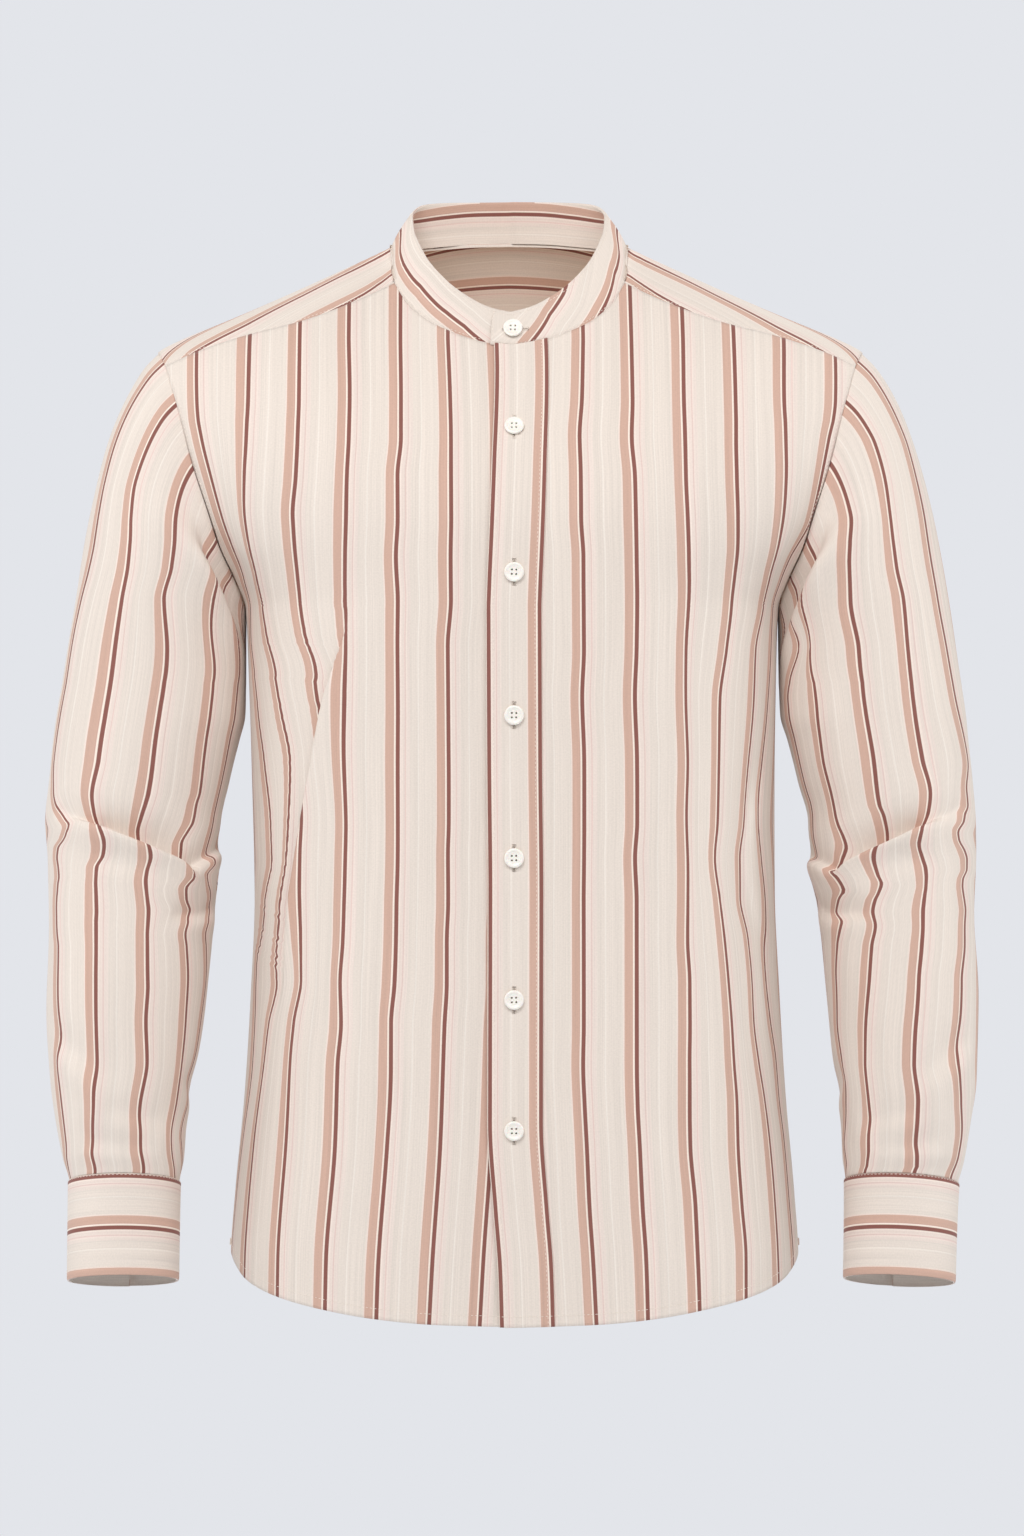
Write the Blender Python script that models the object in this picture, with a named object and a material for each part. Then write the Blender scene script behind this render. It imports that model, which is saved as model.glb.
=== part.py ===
"""Band-collar shirt, filled out as worn and holding its shape, with nobody in it.

Metres, +Z up, the front towards -Y and the wearer's left towards +X. The origin is the middle of
the neck opening at the height of the high shoulder points. The plane y = 0 holds the shoulder
ridges and the side seams. Every piece of cloth is a wall whose outer face is worked out from the
tables below: a grid of rows (bottom to top, or armhole to wrist) and columns.
"""

import bmesh
import bpy
import numpy as np

# ------------------------------------------------------------------ named sizes

WALL = 0.0020  # thickness of each cloth wall
SEAM = 0.0003  # space between neighbouring pieces
FOLD_SPACE = 0.0008  # extra depth under the lapped front, so that flat facets clear each other

SQUARENESS = 2.4  # 2 would make the body's sections ellipses
SECTION_STEPS = 40  # points along half of a section
BODY_CORE = (0.15, 0.9, -0.12)  # reach, narrowing and top of the middle line the cloth faces away from
ARMHOLE_MIDDLE = (0.2180, -0.1580)  # x and height
NECK_CENTRE = np.array([-0.002, -0.006, -0.060])
FOLD_FADE = 0.8  # below 1, the upright folds stay deep nearer to their ends
ARMPIT_HEIGHT = -0.248
FULL_FRONT_HEIGHT = -0.200  # the chest stands straight below this height
FULL_BACK_HEIGHT = -0.160  # the back stands straight below this height
BACK_SEAM_HEIGHT = -0.095  # yoke seam at the middle of the back
BACK_SEAM_FALL = 0.030  # and how much lower it meets the armhole
BACK_SEAM_BOW = 1.6  # 1 would make each half of the seam straight

FRONT_TOP_DROP = 0.050  # the left front's top edge is read this far below the yoke seam's corner
UNDER_EDGE = 0.0175  # the right front reaches this far past the middle
LAP_START = -0.050  # the right front starts to sink under the left front here
LAP_FULL = -0.022
PLACKET_WIDTH = 0.0385
PLACKET_THICKNESS = 0.0011
PLACKET_COLUMNS = 3

COLLAR_OVERHANG = 0.0024  # the collar's left end reaches this far past the left front's edge
COLLAR_CORNER = 0.0085  # radius of the collar's upper front corner
COLLAR_STEPS = 3
COLLAR_END_LEAN = 0.87  # the rim past the middle is this much of the seam's x
NECK_LINE_STEPS = 97
NECK_SMOOTHING = slice(3, 9)  # the neck's table rows that carry its line over the ridge

YOKE_PATH_STEPS = 60
YOKE_SETTLE = 3  # the path settles onto the neck seam over one part in this many
SHOULDER_BULGE_POWER = 4  # how fast the armhole's bulge dies away along the shoulder

# The sleeve's head leaves the armhole and arrives at the arm by these lines. Each pair is the
# middle amount and what the outside of the arm adds to it.
LEAVE_OUT = (0.37, 0.38)
LEAVE_ROUND = 0.30
LEAVE_UP = (-0.85, 0.15)
LEAVE_REACH = (0.039, 0.021)
ARRIVE_LEAN = (-0.08, -0.08)
ARRIVE_REACH = (0.048, 0.030)
CALM_AT_HEAD = 3.0  # rows over which the sleeve's folds die away
CALM_AT_WRIST = 2.0
CORNER_SHARES = (0.4, 0.7)  # where extra columns round the corner

CUFF_TOP_HEIGHT = -0.6462
CUFF_LENGTH = 0.0680
CUFF_STAND = 0.0012  # the cuff stands this far outside the sleeve's end
CUFF_OPENING = 285.0  # degrees round the wrist from the outer side, over the front
CUFF_LAP = 38.0  # degrees by which the cuff's ends overlap
CUFF_COLUMNS = 33
CUFF_ROWS = 3
CUFF_ROUND = 24  # columns that go once round, for the middle
CUFF_UNDER = (10.0, 30.0)  # the under end rises from here, over this many degrees
CUFF_OVER = (330.0, 28.0)  # and the outer end steps up from here
CUFF_SINK = 0.5  # the under end sinks by this share of the lap
STRIP_WIDTH = 0.024
STRIP_LENGTH = 0.130
STRIP_THICKNESS = 0.0010
STRIP_CLEAR = 0.0008  # lets the strip's facets clear the sleeve's
STRIP_END = 0.002  # the strip stops this far above the cuff
STRIP_ROWS = 7
STRIP_COLUMNS = 3

BUTTON_DIAMETER = 0.0135
BUTTON_THICKNESS = 0.0026
BUTTON_SIDES = 14
BUTTON_LINE = 0.0014  # x of the front buttons
FRONT_BUTTON_CLEAR = 0.0001
COLLAR_BUTTON = (0.0006, -0.0562)  # x and height
COLLAR_BUTTON_COLUMN = -4  # the collar's column whose slope the button follows
COLLAR_BUTTON_CLEAR = 0.0004
CUFF_BUTTON_BACK = 16.0  # degrees from the cuff's outer end to its button
CUFF_BUTTON_CLEAR = 0.0010
FRONT_BUTTON_HEIGHTS = (-0.1263, -0.2255, -0.3230, -0.4205, -0.5173, -0.6065)

# Steps of the grids. Neighbouring pieces share them, so that their facets match along a seam.
FRONT_NECK_STEPS = 6
SHOULDER_STEPS = 10
BACK_NECK_STEPS = 5
LOW_STEPS = 13  # hem to armpit
ARMHOLE_STEPS = 8  # armpit to yoke
YOKE_STEPS = 8  # front seam to back seam
SLEEVE_SIDES = 2 * ARMHOLE_STEPS + YOKE_STEPS

CREAM = (0.83, 0.74, 0.66, 1.0)
SHELL_WHITE = (0.92, 0.90, 0.85, 1.0)
CLOTH_ROUGHNESS = 0.85
BUTTON_ROUGHNESS = 0.35


def table(names, *rows):
    """A table's columns by name, each an array with one number a row."""
    return dict(zip(names.split(), np.array(rows, dtype=float).T))


# The body's sections. Above the armpit the half width is where the section would end if the
# armhole did not cut it. The lean is how far the section sits towards the wearer's left.
BODY = table(
    "height  half_width front_depth back_depth lean",
    (-0.760, 0.1990, 0.1200, 0.1120, 0.0018),
    (-0.700, 0.1985, 0.1200, 0.1120, 0.0018),
    (-0.656, 0.1955, 0.1195, 0.1100, 0.0019),
    (-0.586, 0.1890, 0.1180, 0.1060, 0.0021),
    (-0.516, 0.1848, 0.1165, 0.1010, 0.0021),
    (-0.446, 0.1818, 0.1155, 0.0980, 0.0020),
    (-0.360, 0.1828, 0.1165, 0.1010, 0.0009),
    (-0.300, 0.1842, 0.1190, 0.1060, 0.0004),
    (-0.248, 0.1862, 0.1205, 0.1105, 0.0000),
    (-0.228, 0.1950, 0.1208, 0.1118, -0.0002),
    (-0.205, 0.2125, 0.1210, 0.1122, -0.0003),
    (-0.185, 0.2260, 0.1210, 0.1125, -0.0004),
    (-0.150, 0.2450, 0.1208, 0.1125, -0.0006),
    (-0.120, 0.2580, 0.1205, 0.1120, -0.0008),
    (-0.080, 0.2740, 0.1200, 0.1115, -0.0011),
    (0.000, 0.2950, 0.1200, 0.1110, -0.0020),
    (0.045, 0.3000, 0.1200, 0.1110, -0.0025),
)

# The armhole's distance from the middle, the same on the front and the back.
ARMHOLE = table(
    "height  across",
    (-0.2480, 0.1862),
    (-0.2422, 0.1868),
    (-0.2359, 0.1890),
    (-0.2244, 0.1937),
    (-0.2068, 0.2015),
    (-0.1871, 0.2076),
    (-0.1464, 0.2207),
    (-0.1177, 0.2282),
    (-0.0980, 0.2340),
    (-0.0800, 0.2396),
    (-0.0680, 0.2457),
)

# The shoulder ridge, which goes on inside the neck opening as a guide only.
RIDGE = table(
    "across  height",
    (0.0000, 0.0300),
    (0.0400, 0.0240),
    (0.0700, 0.0118),
    (0.0896, 0.0021),
    (0.1137, -0.0091),
    (0.1509, -0.0260),
    (0.1925, -0.0442),
    (0.2296, -0.0596),
    (0.2430, -0.0662),
    (0.2480, -0.0700),
)

# How quickly the cloth rounds over the ridge: small is round, large is steep.
ROUNDING = table(
    "across  front back",
    (0.000, 1.62, 0.54),
    (0.040, 1.45, 0.53),
    (0.080, 1.14, 0.50),
    (0.120, 0.76, 0.47),
    (0.160, 0.58, 0.45),
    (0.200, 0.48, 0.44),
    (0.250, 0.42, 0.43),
)

# The front yoke seam, from the neck to the armhole.
YOKE_SEAM = table(
    "across  height",
    (0.0801, -0.0214),
    (0.1090, -0.0358),
    (0.1452, -0.0497),
    (0.1847, -0.0597),
    (0.2177, -0.0704),
    (0.2396, -0.0800),
)

# Half of the neck seam and of the collar's top rim, from the middle of the back to the front.
NECK = table(
    "across  height  rim_across rim_y  rim_height",
    (0.0000, 0.0115, 0.0000, 0.0400, 0.0400),
    (0.0250, 0.0108, 0.0230, 0.0385, 0.0396),
    (0.0500, 0.0086, 0.0445, 0.0345, 0.0388),
    (0.0690, 0.0062, 0.0590, 0.0270, 0.0370),
    (0.0790, 0.0055, 0.0655, 0.0185, 0.0338),
    (0.0828, 0.0051, 0.0683, 0.0080, 0.0287),
    (0.0823, -0.0113, 0.0672, -0.0060, 0.0170),
    (0.0801, -0.0214, 0.0640, -0.0165, 0.0080),
    (0.0729, -0.0341, 0.0575, -0.0285, -0.0050),
    (0.0634, -0.0441, 0.0480, -0.0375, -0.0170),
    (0.0494, -0.0534, 0.0365, -0.0440, -0.0275),
    (0.0173, -0.0649, 0.0150, -0.0505, -0.0400),
    (0.0000, -0.0678, 0.0000, -0.0520, -0.0440),
)
NECK_CORNER_ROW = 7  # where the front yoke seam meets the neck
NECK_RIDGE_ROW = 5  # where the neck seam crosses the shoulder ridge

# The hem's height at each share of the way from the middle to the side seam.
HEM = table(
    "share height",
    (0.00, -0.7402),
    (0.22, -0.7384),
    (0.36, -0.7354),
    (0.50, -0.7302),
    (0.65, -0.7226),
    (0.78, -0.7130),
    (0.86, -0.7040),
    (0.92, -0.6988),
    (1.00, -0.6950),
)

# The left front's lapping edge.
LAP_EDGE = table(
    "height  across",
    (-0.745, -0.0104),
    (-0.700, -0.0118),
    (-0.660, -0.0150),
    (-0.600, -0.0190),
    (-0.350, -0.0183),
    (-0.150, -0.0172),
    (-0.068, -0.0110),
)

# The sleeves below the underarm: the outer and inner line, the middle and half depth in y, and
# how far the section tips its front edge up and drops its outer edge, in metres for each metre.
SLEEVE_COLUMNS = "height  outer  inner  middle_y half_depth tip  drop"
SLEEVES = {
    "right": table(
        SLEEVE_COLUMNS,
        (-0.3000, 0.3147, 0.1862, 0.0040, 0.0700, 0.00, 0.00),
        (-0.3220, 0.3188, 0.1870, 0.0040, 0.0698, 0.01, 0.00),
        (-0.3400, 0.3213, 0.1912, 0.0040, 0.0695, 0.02, 0.00),
        (-0.3680, 0.3241, 0.1980, 0.0035, 0.0685, 0.04, 0.00),
        (-0.3960, 0.3268, 0.2040, 0.0025, 0.0670, 0.07, 0.00),
        (-0.4240, 0.3246, 0.2050, 0.0000, 0.0655, 0.10, 0.00),
        (-0.4660, 0.3237, 0.2085, -0.0050, 0.0630, 0.13, 0.00),
        (-0.5200, 0.3247, 0.2135, -0.0130, 0.0595, 0.16, 0.00),
        (-0.5750, 0.3214, 0.2216, -0.0215, 0.0535, 0.17, 0.00),
        (-0.6030, 0.3176, 0.2264, -0.0260, 0.0490, 0.19, 0.00),
        (-0.6310, 0.3123, 0.2284, -0.0300, 0.0430, 0.21, 0.00),
        (-0.6480, 0.3074, 0.2313, -0.0325, 0.0375, 0.22, 0.00),
        (-0.7300, 0.3075, 0.2322, -0.0440, 0.0362, 0.18, 0.01),
    ),
    "left": table(
        SLEEVE_COLUMNS,
        (-0.3000, 0.3150, 0.1864, 0.0040, 0.0700, 0.00, 0.00),
        (-0.3220, 0.3180, 0.1876, 0.0040, 0.0698, 0.01, 0.00),
        (-0.3400, 0.3195, 0.1930, 0.0040, 0.0695, 0.02, 0.00),
        (-0.3680, 0.3222, 0.2005, 0.0035, 0.0685, 0.04, 0.00),
        (-0.3960, 0.3241, 0.2078, 0.0025, 0.0670, 0.07, 0.00),
        (-0.4240, 0.3245, 0.2082, 0.0000, 0.0655, 0.10, 0.00),
        (-0.4660, 0.3235, 0.2146, -0.0050, 0.0630, 0.13, 0.00),
        (-0.5200, 0.3252, 0.2200, -0.0130, 0.0595, 0.16, 0.01),
        (-0.5750, 0.3235, 0.2247, -0.0215, 0.0535, 0.17, 0.02),
        (-0.6030, 0.3195, 0.2287, -0.0260, 0.0490, 0.19, 0.03),
        (-0.6310, 0.3145, 0.2300, -0.0300, 0.0430, 0.21, 0.04),
        (-0.6480, 0.3097, 0.2318, -0.0325, 0.0375, 0.22, 0.05),
        (-0.7300, 0.3058, 0.2304, -0.0440, 0.0362, 0.18, 0.05),
    ),
}
SLEEVE_START_HEIGHT = -0.300  # above this the sleeve head blends into the armhole
HEAD_ROWS = 9
ARM_ROWS = 17

# The largest folds of the sleeves. The angle goes round from the outer side over the front, the
# span is half a fold's length in degrees, the fall is its drop for each radian further round,
# and a fold swells out or, if negative, sinks in.
SLEEVE_FOLDS = table(
    "height  angle  span  half_width swell  fall",
    (-0.2130, 125.0, 55.0, 0.0110, 0.0040, 0.040),
    (-0.2420, 110.0, 50.0, 0.0110, -0.0030, 0.030),
    (-0.3950, 98.0, 55.0, 0.0120, 0.0050, 0.026),
    (-0.4180, 98.0, 55.0, 0.0110, -0.0050, 0.026),
    (-0.3980, 20.0, 35.0, 0.0110, -0.0035, 0.000),
    (-0.4150, 250.0, 70.0, 0.0130, -0.0045, 0.000),
    (-0.4420, 150.0, 45.0, 0.0120, -0.0030, 0.010),
    (-0.5700, 45.0, 50.0, 0.0110, -0.0030, -0.010),
    (-0.5900, 135.0, 50.0, 0.0110, -0.0030, 0.010),
    (-0.6150, 80.0, 60.0, 0.0100, -0.0025, 0.004),
    (-0.5950, 260.0, 60.0, 0.0120, -0.0030, 0.000),
)

# The body's soft upright folds. The side is +1 for the wearer's left, the face -1 for the front,
# and the distances are measured along the cloth from the middle.
BODY_FOLDS = table(
    "side face top_height top_across foot_height foot_across half_width swell",
    (-1, -1, -0.262, 0.128, -0.520, 0.182, 0.0135, -0.0050),
    (-1, -1, -0.300, 0.195, -0.600, 0.214, 0.0130, -0.0040),
    (1, -1, -0.235, 0.140, -0.480, 0.150, 0.0135, -0.0050),
    (1, -1, -0.300, 0.195, -0.560, 0.186, 0.0130, -0.0045),
    (-1, 1, -0.270, 0.120, -0.600, 0.135, 0.0180, -0.0055),
    (1, 1, -0.270, 0.115, -0.590, 0.132, 0.0180, -0.0055),
    (-1, 1, -0.330, 0.055, -0.640, 0.062, 0.0180, -0.0040),
    (1, 1, -0.350, 0.050, -0.650, 0.058, 0.0180, -0.0040),
)


# ------------------------------------------------------------------ curves


def through(xs, ys):
    """A smooth curve through the points that stays between neighbours, held at both ends."""
    order = np.argsort(xs)
    xs, ys = xs[order], ys[order]
    step = np.diff(xs)
    slope = np.diff(ys) / step
    turn = np.zeros(len(xs))
    turn[0], turn[-1] = slope[0], slope[-1]
    same = slope[:-1] * slope[1:] > 0
    mean = 2 * slope[:-1] * slope[1:] / np.where(same, slope[:-1] + slope[1:], 1)
    turn[1:-1] = np.where(same, mean, 0)

    def at(x):
        x = np.clip(x, xs[0], xs[-1])
        i = np.clip(np.searchsorted(xs, x) - 1, 0, len(step) - 1)
        t = (x - xs[i]) / step[i]
        rise = (3 - 2 * t) * t * t
        start = (1 - t) ** 2 * t * turn[i]
        end = (t - 1) * t * t * turn[i + 1]
        return ys[i] + rise * (ys[i + 1] - ys[i]) + step[i] * (start + end)

    return at


def ease(t):
    """0 to 1 with level ends."""
    t = np.clip(t, 0, 1)
    return t * t * (3 - 2 * t)


def bell(t):
    return np.exp(-t * t)


def unit(vectors):
    return vectors / np.maximum(np.linalg.norm(vectors, axis=-1, keepdims=True), 1e-12)


def lengths(points):
    """Distance along a line of points, from its first."""
    return np.concatenate([[0.0], np.cumsum(np.linalg.norm(np.diff(points, axis=0), axis=1))])


def spread(points, shares):
    """The points at these shares of a line's length."""
    along = lengths(points)
    wanted = np.asarray(shares) * along[-1]
    return np.stack([np.interp(wanted, along, points[:, k]) for k in range(3)], axis=-1)


half_width = through(BODY["height"], BODY["half_width"])
front_depth = through(BODY["height"], BODY["front_depth"])
back_depth = through(BODY["height"], BODY["back_depth"])
lean = through(BODY["height"], BODY["lean"])
armhole_across = through(ARMHOLE["height"], ARMHOLE["across"])
ridge_height = through(RIDGE["across"], RIDGE["height"])
front_rounding = through(ROUNDING["across"], ROUNDING["front"])
back_rounding = through(ROUNDING["across"], ROUNDING["back"])
yoke_seam_height = through(YOKE_SEAM["across"], YOKE_SEAM["height"])
lap_edge = through(LAP_EDGE["height"], LAP_EDGE["across"])
hem_height = through(HEM["share"], HEM["height"])


# ------------------------------------------------------------------ the body's form

FRONT, BACK = -1, 1
RIGHT, LEFT = -1, 1


def depth_at(face, x, z):
    """y of the body's front or back face at this distance from the middle and this height."""
    reach = np.clip(np.abs(x) / half_width(z), 0, 1)
    flat = (1 - reach**SQUARENESS) ** (1 / SQUARENESS)
    depth = np.where(face == FRONT, front_depth(z), back_depth(z)) * flat
    full = np.where(face == FRONT, FULL_FRONT_HEIGHT, FULL_BACK_HEIGHT)
    rise = np.clip((z - full) / (ridge_height(np.abs(x)) - full), 0, 1)
    power = np.where(face == FRONT, front_rounding(np.abs(x)), back_rounding(np.abs(x)))
    return face * depth * (1 - rise * rise) ** power


def section(face, z):
    """A section's x and its distance along the cloth, from the middle to the side or armhole."""
    z = np.asarray(z, dtype=float)[..., None]
    width = half_width(z)
    end = np.where(z > ARMPIT_HEIGHT, np.minimum(armhole_across(z), width), width)
    last_turn = np.arcsin(np.clip((end / width) ** (SQUARENESS / 2), 0, 1))
    x = width * np.sin(last_turn * np.linspace(0, 1, SECTION_STEPS)) ** (2 / SQUARENESS)
    y = depth_at(face, x, z + 0 * x)
    pieces = np.hypot(np.diff(x), np.diff(y))
    along = np.concatenate([0 * x[..., :1], np.cumsum(pieces, axis=-1)], axis=-1)
    return x, along


def read(wanted, along, values):
    """Each row's value at its wanted distance."""
    i = np.clip((along < wanted[..., None]).sum(-1) - 1, 0, along.shape[-1] - 2)[..., None]
    low = np.take_along_axis(along, i, -1)[..., 0]
    high = np.take_along_axis(along, i + 1, -1)[..., 0]
    first = np.take_along_axis(values, i, -1)[..., 0]
    second = np.take_along_axis(values, i + 1, -1)[..., 0]
    return first + (second - first) * (wanted - low) / (high - low)


def share_of(face, x, z):
    """x as a share of the cloth's length from the middle to the side or armhole."""
    xs, along = section(face, z)
    size = np.abs(x)
    return np.sign(x) * read(np.minimum(size, xs[..., -1]), xs, along) / along[..., -1]


def body_points(face, share, z):
    """Points of the body at these shares of the way to the wearer's left side, or right."""
    xs, along = section(face, z)
    x = np.sign(share) * read(np.abs(share) * along[..., -1], along, xs)
    return np.stack([x + lean(z), depth_at(face, x, z), z], axis=-1)


def rows_of_heights(hem, top):
    """Heights from the hem to the top of each column, with one level row at the armpit."""
    up = np.linspace(0, 1, LOW_STEPS + 1)[:, None]
    lower = hem + (ARMPIT_HEIGHT - hem) * up
    up = np.linspace(0, 1, ARMHOLE_STEPS + 1)[1:, None]
    return np.vstack([lower, ARMPIT_HEIGHT + (top - ARMPIT_HEIGHT) * up])


def body_grid(face, edge_share, top_share, top):
    """A panel's outer points. The edge share gives each column's place at a height."""
    hem = hem_height(np.abs(edge_share(HEM["height"][0])))
    heights = rows_of_heights(hem, top)
    shares = np.empty_like(heights)
    for k, z in enumerate(heights):
        up = max(0.0, (k - LOW_STEPS) / ARMHOLE_STEPS)
        shares[k] = edge_share(z) * (1 - up) + top_share * up
    return body_points(face, shares, heights), shares


def fold_body(points, shares, face):
    """Sinks the soft upright folds into a panel."""
    along = np.abs(shares) * section(face, points[..., 2])[1][..., -1]
    move = np.zeros(shares.shape)
    for k in np.flatnonzero(BODY_FOLDS["face"] == face):
        fold = {name: column[k] for name, column in BODY_FOLDS.items()}
        down = (fold["top_height"] - points[..., 2]) / (fold["top_height"] - fold["foot_height"])
        centre = fold["top_across"] + (fold["foot_across"] - fold["top_across"]) * down
        reach = np.clip(down, 0, 1)
        fade = np.sin(np.pi * reach) ** FOLD_FADE * (shares * fold["side"] > 0)
        move += fold["swell"] * fade * bell((along - centre) / fold["half_width"])
    return points + outward(points, False, body_middle) * move[..., None]


def lap_depth(x):
    """How far the under layer sinks beneath the left front."""
    return (WALL + SEAM + FOLD_SPACE) * ease((x - LAP_START) / (LAP_FULL - LAP_START))


# ------------------------------------------------------------------ directions


def body_middle(points):
    """The nearest point of the body's middle line, which the body's faces look away from."""
    reach, narrowing, top = BODY_CORE
    middle = points.copy()
    middle[..., 0] = np.clip(points[..., 0], -reach, reach) * narrowing
    middle[..., 1] = 0.0
    middle[..., 2] = np.minimum(points[..., 2], top)
    return middle


def outward(points, closed, middle):
    """Unit normals of a grid, pointing away from its middle. A closed grid joins its columns."""
    wide = np.concatenate([points[:, -1:], points, points[:, :1]], axis=1) if closed else points
    across = np.gradient(wide, axis=1)
    if closed:
        across = across[:, 1:-1]
    normal = unit(np.cross(across, np.gradient(points, axis=0)))
    facing = np.sum(normal * (points - middle(points)), axis=-1)
    return normal * (1 if np.sum(facing) > 0 else -1)


# Two pieces that meet at a seam take their thickness in the same direction there.


def towards(points, centre):
    return unit(centre - points)


def armhole_centre(side):
    return np.array([side * ARMHOLE_MIDDLE[0], 0.0, ARMHOLE_MIDDLE[1]])


def panel_inward(points, side_columns, neck):
    """Inward directions of a body panel. The side columns are (column, side) pairs."""
    inward = -outward(points, False, body_middle)
    inward[-1] = towards(points[-1], body_middle(points[-1]))
    inward[-1, neck] = towards(points[-1, neck], NECK_CENTRE)
    for column, side in side_columns:
        inward[:LOW_STEPS, column] = [-side, 0, 0]
        inward[LOW_STEPS:, column] = towards(points[LOW_STEPS:, column], armhole_centre(side))
    return inward


# ------------------------------------------------------------------ meshes


def add_object(name, verts, faces, colour, roughness):
    mesh = bpy.data.meshes.new(name)
    mesh.from_pydata([tuple(v) for v in verts], [], faces)
    work = bmesh.new()
    work.from_mesh(mesh)
    bmesh.ops.recalc_face_normals(work, faces=work.faces)
    work.to_mesh(mesh)
    work.free()
    mesh.shade_smooth()
    obj = bpy.data.objects.new(name, mesh)
    bpy.context.scene.collection.objects.link(obj)
    material = bpy.data.materials.new(name)
    material.use_nodes = True
    surface = material.node_tree.nodes["Principled BSDF"]
    surface.inputs["Base Color"].default_value = colour
    surface.inputs["Roughness"].default_value = roughness
    surface.inputs["Metallic"].default_value = 0.0
    mesh.materials.append(material)
    return obj


def wall(name, outer, inner, closed=False):
    """A closed solid between two grids of points, one face of the cloth and the other."""
    rows, columns = outer.shape[:2]
    size = rows * columns
    far = np.linalg.norm(outer, axis=-1).ravel()

    def spot(row, column, layer):
        return layer * size + row * columns + column % columns

    def cap(a, b):
        """An edge's face, split from its end nearer the origin as the neighbour's is."""
        a, b = (a, b) if far[a] < far[b] else (b, a)
        faces.extend([[a, b, b + size], [a, b + size, a + size]])

    faces = []
    steps = columns if closed else columns - 1
    for r in range(rows - 1):
        for c in range(steps):
            for layer in (0, 1):
                corners = ((r, c), (r, c + 1), (r + 1, c + 1), (r + 1, c))
                face = [spot(i, j, layer) for i, j in corners]
                faces.append(face if layer == 0 else face[::-1])
    for c in range(steps):
        for r in (0, rows - 1):
            cap(spot(r, c, 0), spot(r, c + 1, 0))
    if not closed:
        for r in range(rows - 1):
            for c in (0, columns - 1):
                cap(spot(r, c, 0), spot(r + 1, c, 0))
    verts = np.concatenate([outer.reshape(-1, 3), inner.reshape(-1, 3)])
    return add_object(name, verts, faces, CREAM, CLOTH_ROUGHNESS)


def part_seams(points, closed=False):
    """Draws a grid's edges in by half the space at a seam."""
    result = points.copy()
    result[0] += unit(points[1] - points[0]) * SEAM / 2
    result[-1] += unit(points[-2] - points[-1]) * SEAM / 2
    if not closed:
        result[:, 0] += unit(points[:, 1] - points[:, 0]) * SEAM / 2
        result[:, -1] += unit(points[:, -2] - points[:, -1]) * SEAM / 2
    return result


# ------------------------------------------------------------------ neck, fronts, back and yoke


def neck_line():
    """Half of the neck seam, from the middle of the back to the front, and its table rows."""
    rows = np.arange(len(NECK["across"]))
    fine = np.linspace(0, rows[-1], NECK_LINE_STEPS)
    x, z = through(rows, NECK["across"])(fine), through(rows, NECK["height"])(fine)
    behind = fine < NECK_RIDGE_ROW
    z = np.where(behind, np.minimum(z, ridge_height(x)), z)
    y = np.where(behind, depth_at(BACK, x, z), depth_at(FRONT, x, z))
    near = np.abs(fine - NECK_RIDGE_ROW) <= 1
    smooth_y = through(rows[NECK_SMOOTHING], np.interp(rows[NECK_SMOOTHING], fine, y))
    return fine, np.stack([x, np.where(near, smooth_y(fine), y), z], axis=-1)


def front_top(across):
    """Height of the front's upper edge: the neck seam, then the yoke seam."""
    rows = slice(NECK_CORNER_ROW, None)
    neck = through(NECK["across"][rows], NECK["height"][rows])
    size = np.abs(across)
    return np.where(size < YOKE_SEAM["across"][0], neck(size), yoke_seam_height(size))


def front_across(side):
    """Where a front's columns meet its upper edge: its middle edge, the neck corner, the armhole."""
    first = lap_edge(YOKE_SEAM["height"][0] - FRONT_TOP_DROP) if side == LEFT else -UNDER_EDGE
    corner, tip = YOKE_SEAM["across"][0], YOKE_SEAM["across"][-1]
    neck = np.linspace(first, corner, FRONT_NECK_STEPS + 1)
    return np.concatenate([neck, np.linspace(corner, tip, SHOULDER_STEPS + 1)[1:]])


def mirror(points):
    """The other side's points, leaning the same way."""
    other = points.copy()
    other[..., 0] = 2 * lean(points[..., 2]) - points[..., 0]
    return other


def front(side, name):
    """One front, its columns from the middle edge to the side."""
    across = front_across(side)
    column = (across - across[0]) / (across[-1] - across[0])
    top = front_top(across)

    def edge_share(z):
        z = z + 0 * column
        start = lap_edge(z) if side == LEFT else 0 * z - UNDER_EDGE
        start = share_of(FRONT, start, z)
        return start + column * (1 - start)

    points, shares = body_grid(FRONT, edge_share, share_of(FRONT, across, top), top)
    points = fold_body(points, shares * side, FRONT)
    if side == RIGHT:
        points = mirror(points)
        points[..., 1] += lap_depth(points[..., 0])
    neck = np.arange(FRONT_NECK_STEPS + 1)
    inward = panel_inward(points, [(-1, side)], neck)
    points = part_seams(points)
    wall(name, points, points + inward * WALL)
    return points, inward


def back_seam_height(share):
    return BACK_SEAM_HEIGHT - BACK_SEAM_FALL * np.abs(share) ** BACK_SEAM_BOW


def half_back_shares():
    """Where the yoke's columns meet the back, from the armhole to the middle."""
    corner = np.array([YOKE_SEAM["across"][0]])
    neck = share_of(BACK, corner, np.array([BACK_SEAM_HEIGHT]))[0]
    shoulder = np.linspace(1, neck, SHOULDER_STEPS + 1)
    return np.concatenate([shoulder, np.linspace(neck, 0, BACK_NECK_STEPS + 1)[1:]])


def back():
    half = half_back_shares()
    share = np.concatenate([-half, half[::-1][1:]])
    points, shares = body_grid(BACK, lambda z: share, share, back_seam_height(share))
    points = fold_body(points, shares, BACK)
    inward = panel_inward(points, [(0, RIGHT), (-1, LEFT)], [])
    points = part_seams(points)
    wall("back", points, points + inward * WALL)


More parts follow.
